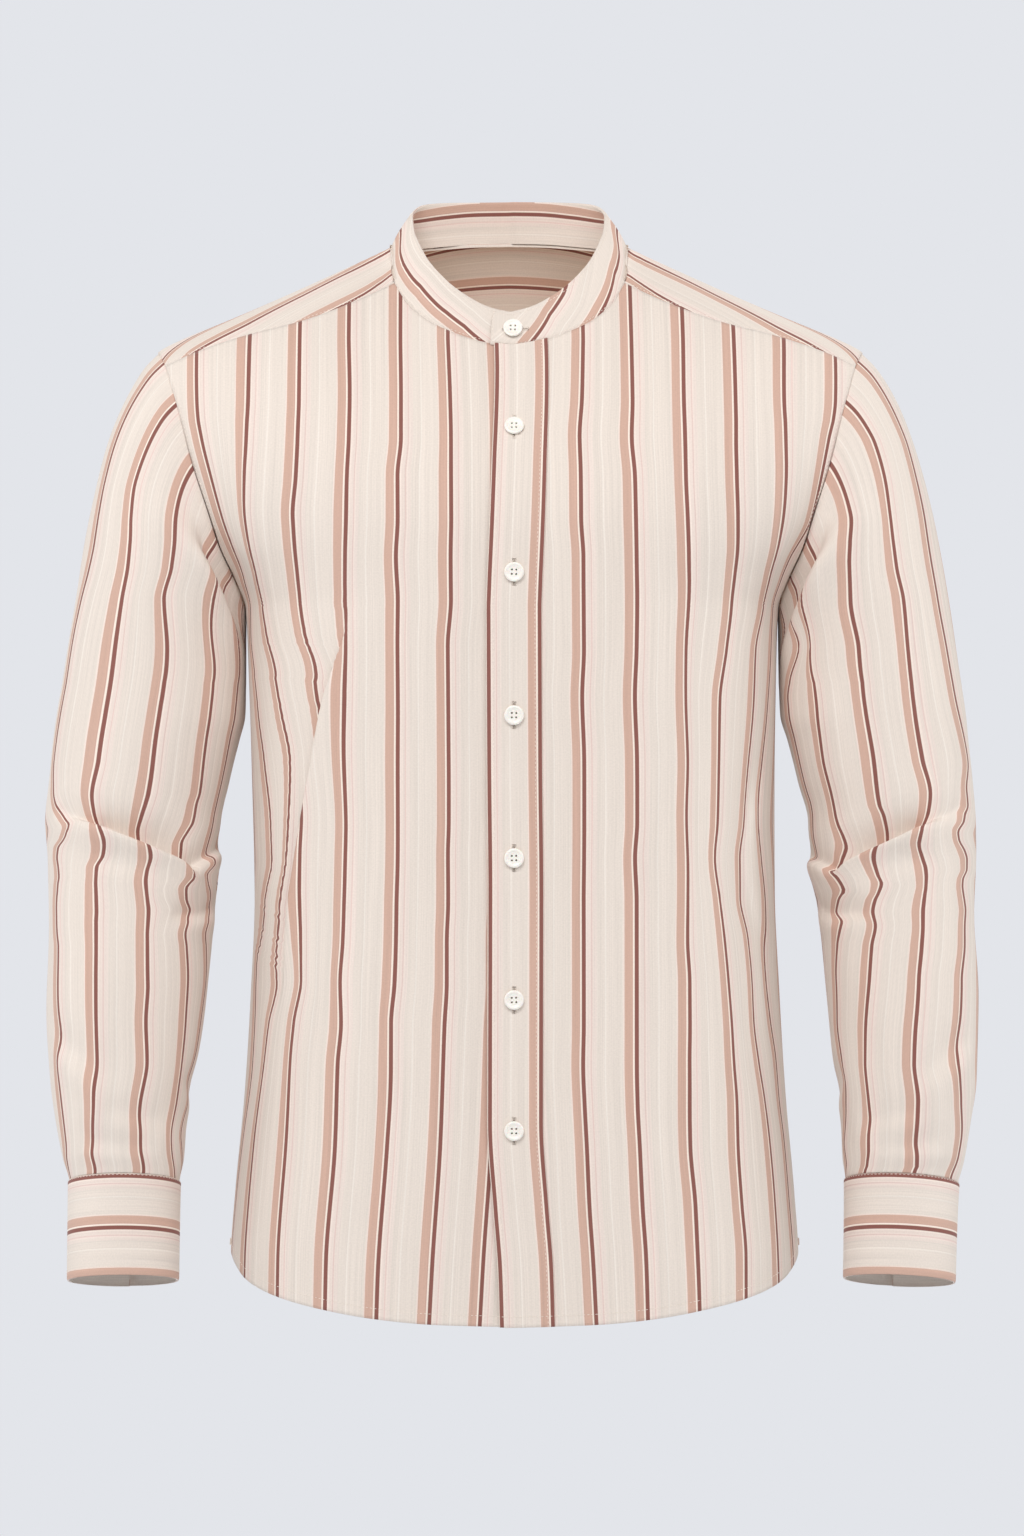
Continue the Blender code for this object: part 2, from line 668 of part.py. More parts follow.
def yoke_path(start, end, bulge):
    """A line over the shoulder. It starts and ends with (x, z, face)."""
    root = [face * np.sqrt(ridge_height(abs(x)) - z) for x, z, face in (start, end)]
    share = np.linspace(0, 1, YOKE_PATH_STEPS)
    r = root[0] + (root[1] - root[0]) * share
    x = start[0] + (end[0] - start[0]) * share + bulge * (1 - (2 * share - 1) ** 2)
    z = ridge_height(x) - r * r
    y = np.where(r < 0, depth_at(FRONT, x, z), depth_at(BACK, x, z))
    return np.stack([x, y, z], axis=-1)


def yoke_half():
    """The left shoulder's points, from the armhole to the middle of the back."""
    tip = YOKE_SEAM["across"][-1]
    shares = half_back_shares()
    heights = back_seam_height(shares)
    ends = body_points(BACK, shares, heights)[:, 0] - lean(heights)
    fine, line = neck_line()
    neck_rows = np.linspace(NECK_CORNER_ROW, 0, BACK_NECK_STEPS + 1)
    shoulder = front_across(LEFT)[FRONT_NECK_STEPS:][::-1]
    columns = []
    for k, (x_end, z_end) in enumerate(zip(ends, heights)):
        end = (x_end, z_end, BACK)
        if k <= SHOULDER_STEPS:
            x = shoulder[k]
            bulge = ARMHOLE["across"][-1] - (tip + ends[0]) / 2
            bulge *= (1 - k / SHOULDER_STEPS) ** SHOULDER_BULGE_POWER
            path = yoke_path((x, front_top(x), FRONT), end, bulge)
        else:
            row = neck_rows[k - SHOULDER_STEPS]
            seam = np.array([np.interp(row, fine, line[:, axis]) for axis in range(3)])
            face = FRONT if row > NECK_RIDGE_ROW else BACK
            path = yoke_path((seam[0], min(seam[2], ridge_height(seam[0])), face), end, 0)
            settle = 1 - ease(np.linspace(0, YOKE_SETTLE, len(path)))
            path += (seam - path[0]) * settle[:, None]
        columns.append(spread(path, np.linspace(0, 1, YOKE_STEPS + 1)))
    return np.stack(columns, axis=1)


def yoke():
    half = yoke_half()
    half[..., 0] += lean(half[..., 2])
    points = np.concatenate([half, mirror(half[:, ::-1][:, 1:])], axis=1)
    inward = -outward(points, False, body_middle)
    inward[[0, -1]] = towards(points[[0, -1]], body_middle(points[[0, -1]]))
    neck = slice(SHOULDER_STEPS, SHOULDER_STEPS + 2 * BACK_NECK_STEPS + 1)
    inward[0, neck] = towards(points[0, neck], NECK_CENTRE)
    inward[:, 0] = towards(points[:, 0], armhole_centre(LEFT))
    inward[:, -1] = towards(points[:, -1], armhole_centre(RIGHT))
    points = part_seams(points)
    wall("yoke", points, points + inward * WALL)


def rim_at(row, sign):
    rows = np.arange(len(NECK["across"]))
    names = ("rim_across", "rim_y", "rim_height")
    rim = np.stack([through(rows, NECK[name])(row) for name in names], axis=-1)
    return rim * np.stack([sign, sign * sign, sign * sign], axis=-1)


def with_corner_columns(line):
    """The line with extra points before its end, where the collar's corner is rounded."""
    before, after = line[-3], line[-2]
    extra = [before + (after - before) * share for share in CORNER_SHARES]
    return np.concatenate([line[:-2], extra, line[-2:]])


def collar_half(side):
    """The neck seam and the rim above it, from the middle of the back to the front end."""
    fine, line = neck_line()
    row = np.linspace(0, NECK_CORNER_ROW, BACK_NECK_STEPS + 1)
    seam = np.stack([np.interp(row, fine, line[:, k]) for k in range(3)], axis=-1)
    rim = rim_at(row, np.ones(len(row)))
    across = front_across(side)[:FRONT_NECK_STEPS][::-1]
    if side == LEFT:
        across = np.append(across, across[-1] - COLLAR_OVERHANG)
    height = front_top(across)
    front_seam = np.stack([across, depth_at(FRONT, across, height), height], axis=-1)
    front_rows = slice(NECK_CORNER_ROW, None)
    table_rows = np.arange(len(NECK["across"]))[front_rows]
    front_row = through(NECK["across"][front_rows], table_rows.astype(float))(np.abs(across))
    front_rim = rim_at(front_row, np.where(across < 0, -1.0, 1.0))
    front_rim[..., 0] = np.where(across < 0, across * COLLAR_END_LEAN, front_rim[..., 0])
    seam, rim = np.concatenate([seam, front_seam]), np.concatenate([rim, front_rim])
    if side == LEFT:
        seam, rim = (with_corner_columns(line) for line in (seam, rim))
    seam[..., 0] += lean(seam[..., 2])
    rim[..., 0] += lean(rim[..., 2])
    return seam, rim


def collar_band():
    """The band stands on the neck seam. Its left end laps over the right one."""
    left_seam, left_rim = collar_half(LEFT)
    right_seam, right_rim = (mirror(points) for points in collar_half(RIGHT))
    for points in (right_seam, right_rim):
        points[..., 1] += lap_depth(points[..., 0])
    seam = np.concatenate([right_seam[::-1], left_seam[1:]])
    rim = np.concatenate([right_rim[::-1], left_rim[1:]])
    to_end = lengths(seam[::-1])[::-1]
    inside = np.clip(COLLAR_CORNER - to_end, 0, COLLAR_CORNER)
    drop = COLLAR_CORNER - np.sqrt(COLLAR_CORNER**2 - inside**2)
    rim = rim + unit(seam - rim) * drop[:, None]
    up = np.linspace(0, 1, COLLAR_STEPS + 1)[:, None, None]
    points = seam * (1 - up) + rim * up
    inward = unit((NECK_CENTRE - points) * [1, 1, 0])
    inward[0] = towards(points[0], NECK_CENTRE)
    points[0] += unit(points[1] - points[0]) * SEAM / 2
    wall("collar_band", points, points + inward * WALL)
    return points, inward


def placket(points, inward):
    """A strip along the left front's edge, its face moved out from the front's own points."""
    strip_rows = points.shape[0]
    shares = np.linspace(0, 1, PLACKET_COLUMNS)
    below = np.empty((strip_rows, PLACKET_COLUMNS, 3))
    out = np.empty_like(below)
    for r in range(strip_rows):
        along = lengths(points[r])
        wanted = shares * PLACKET_WIDTH
        for k in range(3):
            below[r, :, k] = np.interp(wanted, along, points[r, :, k])
            out[r, :, k] = -np.interp(wanted, along, inward[r, :, k])
    out = unit(out)
    out[-1] = out[-2]
    wall("placket", below + out * (SEAM + PLACKET_THICKNESS), below + out * SEAM)
    return below, out


# ------------------------------------------------------------------ sleeves and cuffs


def armhole_loop(side):
    """The armhole from the shoulder tip over the front and under the arm, at the panels' points."""
    tip = yoke_half()[:, 0]

    def edge(face, top):
        z = np.linspace(top, ARMPIT_HEIGHT, ARMHOLE_STEPS + 1)
        x = armhole_across(z)
        return np.stack([x, depth_at(face, x, z), z], axis=-1)

    front_edge = edge(FRONT, YOKE_SEAM["height"][-1])
    back_edge = edge(BACK, back_seam_height(1.0))
    top = int(np.argmax(tip[:, 2]))
    loop = [tip[top::-1], front_edge[1:], back_edge[::-1][1:], tip[:top:-1][1:]]
    loop = np.concatenate(loop)
    loop[..., 0] += lean(loop[..., 2])
    if side == RIGHT:
        loop = mirror(loop)
    along = lengths(np.concatenate([loop, loop[:1]]))
    return loop, 360 * along[:-1] / along[-1]


def sleeve_ring(side, height, angle):
    """One section of the arm. The angle is 0 outside, 90 at the front, 180 inside."""
    sizes = SLEEVES["left" if side == LEFT else "right"]
    outer, inner, middle, depth, tip, drop = (
        through(sizes["height"], sizes[name])(height)
        for name in SLEEVE_COLUMNS.split()[1:]
    )
    turn = np.radians(angle)
    outwards = (outer - inner) / 2 * np.cos(turn)
    x = side * ((outer + inner) / 2 + outwards)
    y = middle - depth * np.sin(turn)
    z = height + tip * depth * np.sin(turn) - drop * outwards
    return np.stack([x, y, z], axis=-1)


def sleeve_grid(side):
    """Rows from the armhole to the cuff. The head's rows blend from the armhole loop."""
    first, angle = armhole_loop(side)
    turn = np.radians(angle)
    first = first + [side * SEAM, 0, 0]
    last = sleeve_ring(side, SLEEVE_START_HEIGHT, angle)

    def amount(pair):
        return pair[0] + pair[1] * np.cos(turn)

    leave = [side * amount(LEAVE_OUT), -LEAVE_ROUND * np.sin(turn), amount(LEAVE_UP)]
    second = first + unit(np.stack(leave, axis=-1)) * amount(LEAVE_REACH)[:, None]
    arrive = np.stack([side * amount(ARRIVE_LEAN), 0 * turn, 1 + 0 * turn], axis=-1)
    third = last + arrive * amount(ARRIVE_REACH)[:, None]
    rows = []
    for t in np.linspace(0, 1, HEAD_ROWS + 1)[:-1]:
        near = (1 - t) ** 3 * first + 3 * (1 - t) ** 2 * t * second
        rows.append(near + 3 * (1 - t) * t * t * third + t**3 * last)
    for height in np.linspace(SLEEVE_START_HEIGHT, CUFF_TOP_HEIGHT, ARM_ROWS):
        rows.append(sleeve_ring(side, height, angle))
    return np.array(rows), angle


def arm_middle(points):
    return np.broadcast_to(points.mean(axis=1, keepdims=True), points.shape)


def fold_sleeve(points, angle):
    """Raises and sinks the sleeve's folds."""
    move = np.zeros(points.shape[:2])
    for k in range(len(SLEEVE_FOLDS["height"])):
        fold = {name: column[k] for name, column in SLEEVE_FOLDS.items()}
        turn = (angle - fold["angle"] + 180) % 360 - 180
        centre = fold["height"] - fold["fall"] * np.radians(turn)
        fade = bell(turn / fold["span"])
        move += fold["swell"] * fade * bell((points[..., 2] - centre) / fold["half_width"])
    ends = np.arange(points.shape[0])
    calm = ease(ends / CALM_AT_HEAD) * ease((points.shape[0] - 1 - ends) / CALM_AT_WRIST)
    return points + outward(points, True, arm_middle) * (move * calm[:, None])[..., None]


def sleeve(side, word):
    points, angle = sleeve_grid(side)
    points = fold_sleeve(points, angle)
    inward = -outward(points, True, arm_middle)
    inward[0] = towards(points[0] - [side * SEAM, 0, 0], armhole_centre(side))
    points = part_seams(points, closed=True)
    wall(f"sleeve_{word}", points, points + inward * WALL, closed=True)
    return points, angle


def cuff(side, word):
    """A band round the wrist, its outer end lapped over the inner one."""
    turn = np.linspace(0, 360 + CUFF_LAP, CUFF_COLUMNS)
    angle = CUFF_OPENING - CUFF_LAP / 2 + turn
    under = 1 - ease((turn - CUFF_UNDER[0]) / CUFF_UNDER[1])
    over = ease((turn - CUFF_OVER[0]) / CUFF_OVER[1])
    rows = []
    for down in np.linspace(0, 1, CUFF_ROWS):
        height = CUFF_TOP_HEIGHT - SEAM - CUFF_LENGTH * down
        ring = sleeve_ring(side, height, angle)
        out = unit((ring - sleeve_ring(side, height, angle + 180)) * [1, 1, 0])
        stand = CUFF_STAND + (WALL + SEAM + FOLD_SPACE) * (over - CUFF_SINK * under)
        rows.append(ring + out * stand[:, None])
    points = np.array(rows)
    middle = points[:, :CUFF_ROUND].mean(axis=1, keepdims=True)
    out = unit((points - middle) * [1, 1, 0])
    wall(f"cuff_{word}", points, points - out * WALL)
    return points, out, angle


def sleeve_strip(word, points, angle):
    """The strip over the slit at the back of the wrist, made from the sleeve's points."""
    out = outward(points, True, arm_middle)
    mean_height = points[..., 2].mean(axis=1)
    foot = mean_height[-1]
    heights = np.linspace(foot + STRIP_LENGTH, foot + STRIP_END, STRIP_ROWS)
    row_at = np.interp(-heights, -mean_height, np.arange(len(mean_height)))
    spots, lifts = [], []
    for row in row_at:
        r = min(int(row), len(points) - 2)
        near = row - r
        loop = points[r] * (1 - near) + points[r + 1] * near
        normal = out[r] * (1 - near) + out[r + 1] * near
        loop, normal = np.concatenate([loop, loop[:1]]), np.concatenate([normal, normal[:1]])
        along = lengths(loop)
        middle = np.interp(CUFF_OPENING, np.append(angle, 360), along)
        wanted = middle + STRIP_WIDTH * np.linspace(-0.5, 0.5, STRIP_COLUMNS)
        spots.append(np.stack([np.interp(wanted, along, loop[:, k]) for k in range(3)], axis=-1))
        lift = np.stack([np.interp(wanted, along, normal[:, k]) for k in range(3)], axis=-1)
        lifts.append(unit(lift))
    spots, lifts = np.array(spots), np.array(lifts)
    clear = SEAM + STRIP_CLEAR
    wall(
        f"sleeve_placket_{word}",
        spots + lifts * (clear + STRIP_THICKNESS),
        spots + lifts * clear,
    )


# ------------------------------------------------------------------ buttons

BUTTON_PROFILE = table(
    "radius  height",
    (0.94, 0.00),
    (1.00, 0.35),
    (0.97, 0.85),
    (0.80, 1.00),
    (0.66, 0.62),
)


def button(name, centre, out):
    """A disc with a rounded rim and a shallow dish, its back on the cloth."""
    out = unit(np.asarray(out, dtype=float))
    side = unit(np.cross(out, [0.0, 0.0, 1.0]))
    up = np.cross(side, out)
    turn = np.arange(BUTTON_SIDES) * 2 * np.pi / BUTTON_SIDES
    ring = np.cos(turn)[:, None] * side + np.sin(turn)[:, None] * up
    verts = [np.asarray(centre, dtype=float)]
    for radius, height in zip(BUTTON_PROFILE["radius"], BUTTON_PROFILE["height"]):
        level = verts[0] + out * height * BUTTON_THICKNESS
        verts.extend(level + ring * radius * BUTTON_DIAMETER / 2)
    verts.append(verts[0] + out * BUTTON_PROFILE["height"][-1] * BUTTON_THICKNESS)
    faces = []
    rings = len(BUTTON_PROFILE["radius"])
    for k in range(BUTTON_SIDES):
        n = (k + 1) % BUTTON_SIDES
        faces.append([0, 1 + n, 1 + k])
        for r in range(rings - 1):
            a, b = 1 + r * BUTTON_SIDES, 1 + (r + 1) * BUTTON_SIDES
            faces.append([a + k, a + n, b + n, b + k])
        last = 1 + (rings - 1) * BUTTON_SIDES
        faces.append([last + k, last + n, len(verts) - 1])
    add_object(name, verts, faces, SHELL_WHITE, BUTTON_ROUGHNESS)


def at_height(grid, out, x, z):
    """The point of a strip's face at this x and height, and its direction."""
    rows = []
    for spots, lifts in zip(grid, out):
        order = np.argsort(spots[:, 0])
        rows.append(
            [np.interp(x, spots[order, 0], spots[order, k]) for k in (1, 2)]
            + [np.interp(x, spots[order, 0], lifts[order, k]) for k in range(3)]
        )
    rows = np.array(rows)
    rows = rows[np.argsort(rows[:, 1])]
    y = np.interp(z, rows[:, 1], rows[:, 0])
    lift = [np.interp(z, rows[:, 1], rows[:, k]) for k in (2, 3, 4)]
    return np.array([x, y, z]), unit(np.array(lift))


def front_buttons(below, out):
    stand = 2 * SEAM + PLACKET_THICKNESS + FRONT_BUTTON_CLEAR
    for k, z in enumerate(FRONT_BUTTON_HEIGHTS):
        spot, lift = at_height(below, out, BUTTON_LINE, z)
        button(f"button_front_{k + 1}", spot + lift * stand, lift)


def collar_button(points, inward):
    half = points.shape[1] // 2
    spot, lift = at_height(points[:, half:], -inward[:, half:], *COLLAR_BUTTON)
    column = points[:, COLLAR_BUTTON_COLUMN]
    tilt = unit(np.cross([1.0, 0.0, 0.0], column[-1] - column[0]))
    tilt = tilt * np.sign(np.dot(tilt, lift))
    button("button_collar", spot + tilt * (SEAM + COLLAR_BUTTON_CLEAR), tilt)


def cuff_button(word, points, out, angle):
    wanted = CUFF_OPENING + 360 + CUFF_LAP / 2 - CUFF_BUTTON_BACK
    column = int(np.argmin(np.abs(angle - wanted)))
    spot, lift = points[CUFF_ROWS // 2, column], out[CUFF_ROWS // 2, column]
    button(f"button_cuff_{word}", spot + lift * (SEAM + CUFF_BUTTON_CLEAR), lift)


# ------------------------------------------------------------------ the shirt


def build():
    for obj in list(bpy.data.objects):
        bpy.data.objects.remove(obj)
    left_points, left_inward = front(LEFT, "front_left")
    front(RIGHT, "front_right")
    below, out = placket(left_points, left_inward)
    back()
    yoke()
    collar_points, collar_inward = collar_band()
    for side, word in ((RIGHT, "right"), (LEFT, "left")):
        points, angle = sleeve(side, word)
        sleeve_strip(word, points, angle)
        cuff_points, cuff_out, cuff_angle = cuff(side, word)
        cuff_button(word, cuff_points, cuff_out, cuff_angle)
    front_buttons(below, out)
    collar_button(collar_points, collar_inward)


build()
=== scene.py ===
"""Band-collar shirt: its cloth, stripes, folds, stitches and buttons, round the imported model.

Metres, +Z up, the front towards -Y, the wearer's left towards +X. Every piece of cloth is a grid
of points: its columns run across the piece and its rows along it. A second grid gives each
point's place in the flat cloth, which carries the stripes and the creases.
"""

import math

import bpy
import numpy as np
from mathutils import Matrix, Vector


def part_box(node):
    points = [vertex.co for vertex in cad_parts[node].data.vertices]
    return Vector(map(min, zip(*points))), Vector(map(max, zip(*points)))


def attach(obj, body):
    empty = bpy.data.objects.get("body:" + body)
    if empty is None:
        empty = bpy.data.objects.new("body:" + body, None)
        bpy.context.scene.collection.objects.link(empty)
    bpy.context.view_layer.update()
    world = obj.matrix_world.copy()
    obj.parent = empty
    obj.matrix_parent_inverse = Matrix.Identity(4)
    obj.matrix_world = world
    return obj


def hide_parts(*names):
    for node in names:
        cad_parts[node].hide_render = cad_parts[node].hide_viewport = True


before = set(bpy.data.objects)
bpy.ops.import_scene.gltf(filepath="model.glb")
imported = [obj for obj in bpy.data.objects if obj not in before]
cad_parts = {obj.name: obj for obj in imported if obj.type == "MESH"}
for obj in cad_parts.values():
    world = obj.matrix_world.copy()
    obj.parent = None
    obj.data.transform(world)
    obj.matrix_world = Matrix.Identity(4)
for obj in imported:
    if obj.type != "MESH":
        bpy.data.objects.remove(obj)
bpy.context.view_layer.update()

FRONT, BACK = -1, 1
RIGHT, LEFT = -1, 1
WORD = {RIGHT: "right", LEFT: "left"}

# ------------------------------------------------------------------ named sizes

SQUARENESS = 2.4  # 2 would make the body's sections ellipses
BODY_CORE = (0.15, 0.9, -0.12)  # reach, narrowing and top of the middle line the cloth faces away from
ARMPIT_HEIGHT = -0.248
FULL_FRONT_HEIGHT = -0.200  # the chest stands straight below this height
FULL_BACK_HEIGHT = -0.160  # the back stands straight below this height
BACK_SEAM_HEIGHT = -0.095  # yoke seam at the middle of the back
BACK_SEAM_FALL = 0.030  # and how much lower it meets the armhole
BACK_SEAM_BOW = 1.6  # 1 would make each half of the seam straight
CHEST_HEIGHT = -0.120  # above this the stripes stand straight over this section
SHOULDER_SLANT = 1.05  # length of cloth for each metre across, past that section's end

FRONT_TOP_DROP = 0.050  # the left front's top edge is read this far below the yoke seam's corner
UNDER_EDGE = 0.0175  # the right front reaches this far past the middle
LAP_START = -0.050  # the right front starts to sink under the left front here
LAP_FULL = -0.022
LAP_DEPTH = 0.0026
PLACKET_WIDTH = 0.0385

COLLAR_OVERHANG = 0.0024  # the collar's left end reaches this far past the left front's edge
COLLAR_CORNER = 0.0085  # radius of the collar's upper front corner
COLLAR_THICKNESS = 0.0019
COLLAR_HEIGHT = 0.0290
COLLAR_BELLY = 0.0012  # the band swells by this much halfway up
COLLAR_ROUND = (0.35, 0.4)  # the rim's rise and lean, as shares of the thickness
COLLAR_UNDER = (0.0010, 0.0006)  # how far the band goes in and down past the neck seam
COLLAR_END_LEAN = 0.87  # the rim past the middle is this much of the seam's x
COLLAR_FACING = (0.2, -0.004)  # narrowing and y of the middle that the band faces away from
NECK_SMOOTHING = slice(3, 9)  # the neck's table rows that carry its line over the ridge

YOKE_SETTLE = 3  # the path settles onto the neck seam over one part in this many
SHOULDER_BULGE_POWER = 4  # how fast the armhole's bulge dies away along the shoulder

# The sleeve's head leaves the armhole and arrives at the arm by these lines. Each pair is the
# middle amount and what the outside of the arm adds to it.
LEAVE_OUT = (0.37, 0.38)
LEAVE_ROUND = 0.30
LEAVE_UP = (-0.85, 0.15)
LEAVE_REACH = (0.039, 0.021)
ARRIVE_LEAN = (-0.08, -0.08)
ARRIVE_REACH = (0.048, 0.030)
HEAD_SINK = 0.0009  # the head's first rows lie this far inside the armhole
HEAD_UNDER = (0.0020, 0.0015)  # how far the head goes in and on past the armhole

CUFF_TOP_HEIGHT = -0.6462
CUFF_LENGTH = 0.0680
CUFF_SEAM = 0.0003  # space between the sleeve's end and the cuff
CUFF_STAND = 0.0012  # the cuff stands this far outside the sleeve's end
CUFF_THICKNESS = 0.0017
CUFF_OPENING = 285.0  # degrees round the wrist from the outer side, over the front
CUFF_LAP = 38.0  # degrees by which the cuff's ends overlap
CUFF_LAP_DEPTH = 0.0031
CUFF_UNDER = (10.0, 30.0)  # the under end rises from here, over this many degrees
CUFF_OVER = (330.0, 28.0)  # and the outer end steps up from here
CUFF_SINK = 0.5  # the under end sinks by this share of the lap
CUFF_EDGE = (0.02, 0.0005)  # share of the length over which each edge rounds in, and how far
CUFF_EDGE_ROW = 0.4  # the edge has one row this far into that share
STRIP_WIDTH = 0.024
STRIP_LENGTH = 0.130
STRIP_CLEAR = 0.0002  # space between the strip's edge and the sleeve
STRIP_TIP = (0.002, 0.1)  # the point thins over this length, from this share

FRONT_BUTTONS = 6

CLOTH = 0.0005  # thickness of one layer
HEM_WIDTH = 0.0075  # cloth turned up inside the hem
HEM_LAYER = 2.2 * CLOTH  # from the hem's face to the layer turned up inside it
HEM_FOLD = ((2.0 * CLOTH, -0.0001), (1.1 * CLOTH, 0.0004))  # the fold's depths, and reach past the edge
SEAM_TUCK = ((0.0022, -0.0010), (0.0008, 0.0002))  # the same for the roll at a seam
STRIPE_REPEAT = 0.0347
MAROON = 0.0081  # middle of the maroon line in the repeat
PLAIN_CREAM = 0.0300  # a place in the repeat with no line near it
CUFF_STRIPE = {RIGHT: 0.0018, LEFT: 0.0016}  # first maroon line's distance below the seam
CUFF_INSIDE = 0.0310  # place in the repeat at the lower edge of a cuff's inside
PLACKET_STRIPE = 0.0061  # and at the placket's edge
STRIP_STRIPE = 0.0105  # and along the middle of a sleeve's strip

# Steps of the grids
FRONT_NECK_STEPS = 44
SHOULDER_STEPS = 84
BACK_NECK_STEPS = 44
LOW_STEPS = 190  # hem to armpit
ARMHOLE_STEPS = 84  # armpit to yoke
YOKE_STEPS = 76
COLLAR_STEPS = 14
SLEEVE_SIDES = 200
HEAD_ROWS = 96
ARM_ROWS = 236
SECTION_STEPS = 160
NECK_LINE_STEPS = 385
YOKE_PATH_STEPS = 160
COLLAR_END_STEPS = 8
COLLAR_LINE_STEPS = 400
CUFF_COLUMNS = 181
CUFF_ROWS = 25
CUFF_ROUND = 140  # columns whose mean is the cuff's middle
STRIP_ROWS = 40
STRIP_POINT_ROWS = 12
STRIP_REACH = 16  # columns of the sleeve on each side of the strip's middle
CREASE_STEPS = 61
CURVE_STEPS = 2001

# Slight unevenness of a piece: its depth and its longest wave
FRONT_RIPPLE = (0.0005, 0.16)
BACK_RIPPLE = (0.0007, 0.20)
SLEEVE_RIPPLE = (0.0006, 0.11)
RIPPLE_SEEDS = {"front": 11, "sleeve": 21, "back": 5}

# Columns and rows over which the unevenness dies away
CALM_SIDE = 12
CALM_PLACKET = 30
CALM_TOP = 20
CALM_AT_HEAD = 14
CALM_AT_WRIST = 10
HEAD_SINK_ROWS = 9


def table(names, *rows):
    """A table's columns by name, each an array with one number a row."""
    return dict(zip(names.split(), np.array(rows, dtype=float).T))


# The body's sections. Above the armpit the half width is where the section would end if the
# armhole did not cut it. The lean is how far the section sits towards the wearer's left.
BODY = table(
    "height  half_width front_depth back_depth lean",
    (-0.760, 0.1990, 0.1200, 0.1120, 0.0018),
    (-0.700, 0.1985, 0.1200, 0.1120, 0.0018),
    (-0.656, 0.1955, 0.1195, 0.1100, 0.0019),
    (-0.586, 0.1890, 0.1180, 0.1060, 0.0021),
    (-0.516, 0.1848, 0.1165, 0.1010, 0.0021),
    (-0.446, 0.1818, 0.1155, 0.0980, 0.0020),
    (-0.360, 0.1828, 0.1165, 0.1010, 0.0009),
    (-0.300, 0.1842, 0.1190, 0.1060, 0.0004),
    (-0.248, 0.1862, 0.1205, 0.1105, 0.0000),
    (-0.228, 0.1950, 0.1208, 0.1118, -0.0002),
    (-0.205, 0.2125, 0.1210, 0.1122, -0.0003),
    (-0.185, 0.2260, 0.1210, 0.1125, -0.0004),
    (-0.150, 0.2450, 0.1208, 0.1125, -0.0006),
    (-0.120, 0.2580, 0.1205, 0.1120, -0.0008),
    (-0.080, 0.2740, 0.1200, 0.1115, -0.0011),
    (0.000, 0.2950, 0.1200, 0.1110, -0.0020),
    (0.045, 0.3000, 0.1200, 0.1110, -0.0025),
)

# The armhole's distance from the middle, the same on the front and the back.
ARMHOLE = table(
    "height  across",
    (-0.2480, 0.1862),
    (-0.2422, 0.1868),
    (-0.2359, 0.1890),
    (-0.2244, 0.1937),
    (-0.2068, 0.2015),
    (-0.1871, 0.2076),
    (-0.1464, 0.2207),
    (-0.1177, 0.2282),
    (-0.0980, 0.2340),
    (-0.0800, 0.2396),
    (-0.0680, 0.2457),
)

# The shoulder ridge, which goes on inside the neck opening as a guide only.
RIDGE = table(
    "across  height",
    (0.0000, 0.0300),
    (0.0400, 0.0240),
    (0.0700, 0.0118),
    (0.0896, 0.0021),
    (0.1137, -0.0091),
    (0.1509, -0.0260),
    (0.1925, -0.0442),
    (0.2296, -0.0596),
    (0.2430, -0.0662),
    (0.2480, -0.0700),
)

# How quickly the cloth rounds over the ridge: small is round, large is steep.
ROUNDING = table(
    "across  front back",
    (0.000, 1.62, 0.54),
    (0.040, 1.45, 0.53),
    (0.080, 1.14, 0.50),
    (0.120, 0.76, 0.47),
    (0.160, 0.58, 0.45),
    (0.200, 0.48, 0.44),
    (0.250, 0.42, 0.43),
)

# The front yoke seam, from the neck to the armhole.
YOKE_SEAM = table(
    "across  height",
    (0.0801, -0.0214),
    (0.1090, -0.0358),
    (0.1452, -0.0497),
    (0.1847, -0.0597),
    (0.2177, -0.0704),
    (0.2396, -0.0800),
)

# Half of the neck seam and of the collar's top rim, from the middle of the back to the front.
NECK = table(
    "across  height  rim_across rim_y  rim_height",
    (0.0000, 0.0115, 0.0000, 0.0400, 0.0400),
    (0.0250, 0.0108, 0.0230, 0.0385, 0.0396),
    (0.0500, 0.0086, 0.0445, 0.0345, 0.0388),
    (0.0690, 0.0062, 0.0590, 0.0270, 0.0370),
    (0.0790, 0.0055, 0.0655, 0.0185, 0.0338),
    (0.0828, 0.0051, 0.0683, 0.0080, 0.0287),
    (0.0823, -0.0113, 0.0672, -0.0060, 0.0170),
    (0.0801, -0.0214, 0.0640, -0.0165, 0.0080),
    (0.0729, -0.0341, 0.0575, -0.0285, -0.0050),
    (0.0634, -0.0441, 0.0480, -0.0375, -0.0170),
    (0.0494, -0.0534, 0.0365, -0.0440, -0.0275),
    (0.0173, -0.0649, 0.0150, -0.0505, -0.0400),
    (0.0000, -0.0678, 0.0000, -0.0520, -0.0440),
)
NECK_CORNER_ROW = 7  # where the front yoke seam meets the neck
NECK_RIDGE_ROW = 5  # where the neck seam crosses the shoulder ridge

# The hem's height at each share of the way from the middle to the side seam.
HEM = table(
    "share height",
    (0.00, -0.7402),
    (0.22, -0.7384),
    (0.36, -0.7354),
    (0.50, -0.7302),
    (0.65, -0.7226),
    (0.78, -0.7130),
    (0.86, -0.7040),
    (0.92, -0.6988),
    (1.00, -0.6950),
)

# The left front's lapping edge.
LAP_EDGE = table(
    "height  across",
    (-0.745, -0.0104),
    (-0.700, -0.0118),
    (-0.660, -0.0150),
    (-0.600, -0.0190),
    (-0.350, -0.0183),
    (-0.150, -0.0172),
    (-0.068, -0.0110),
)

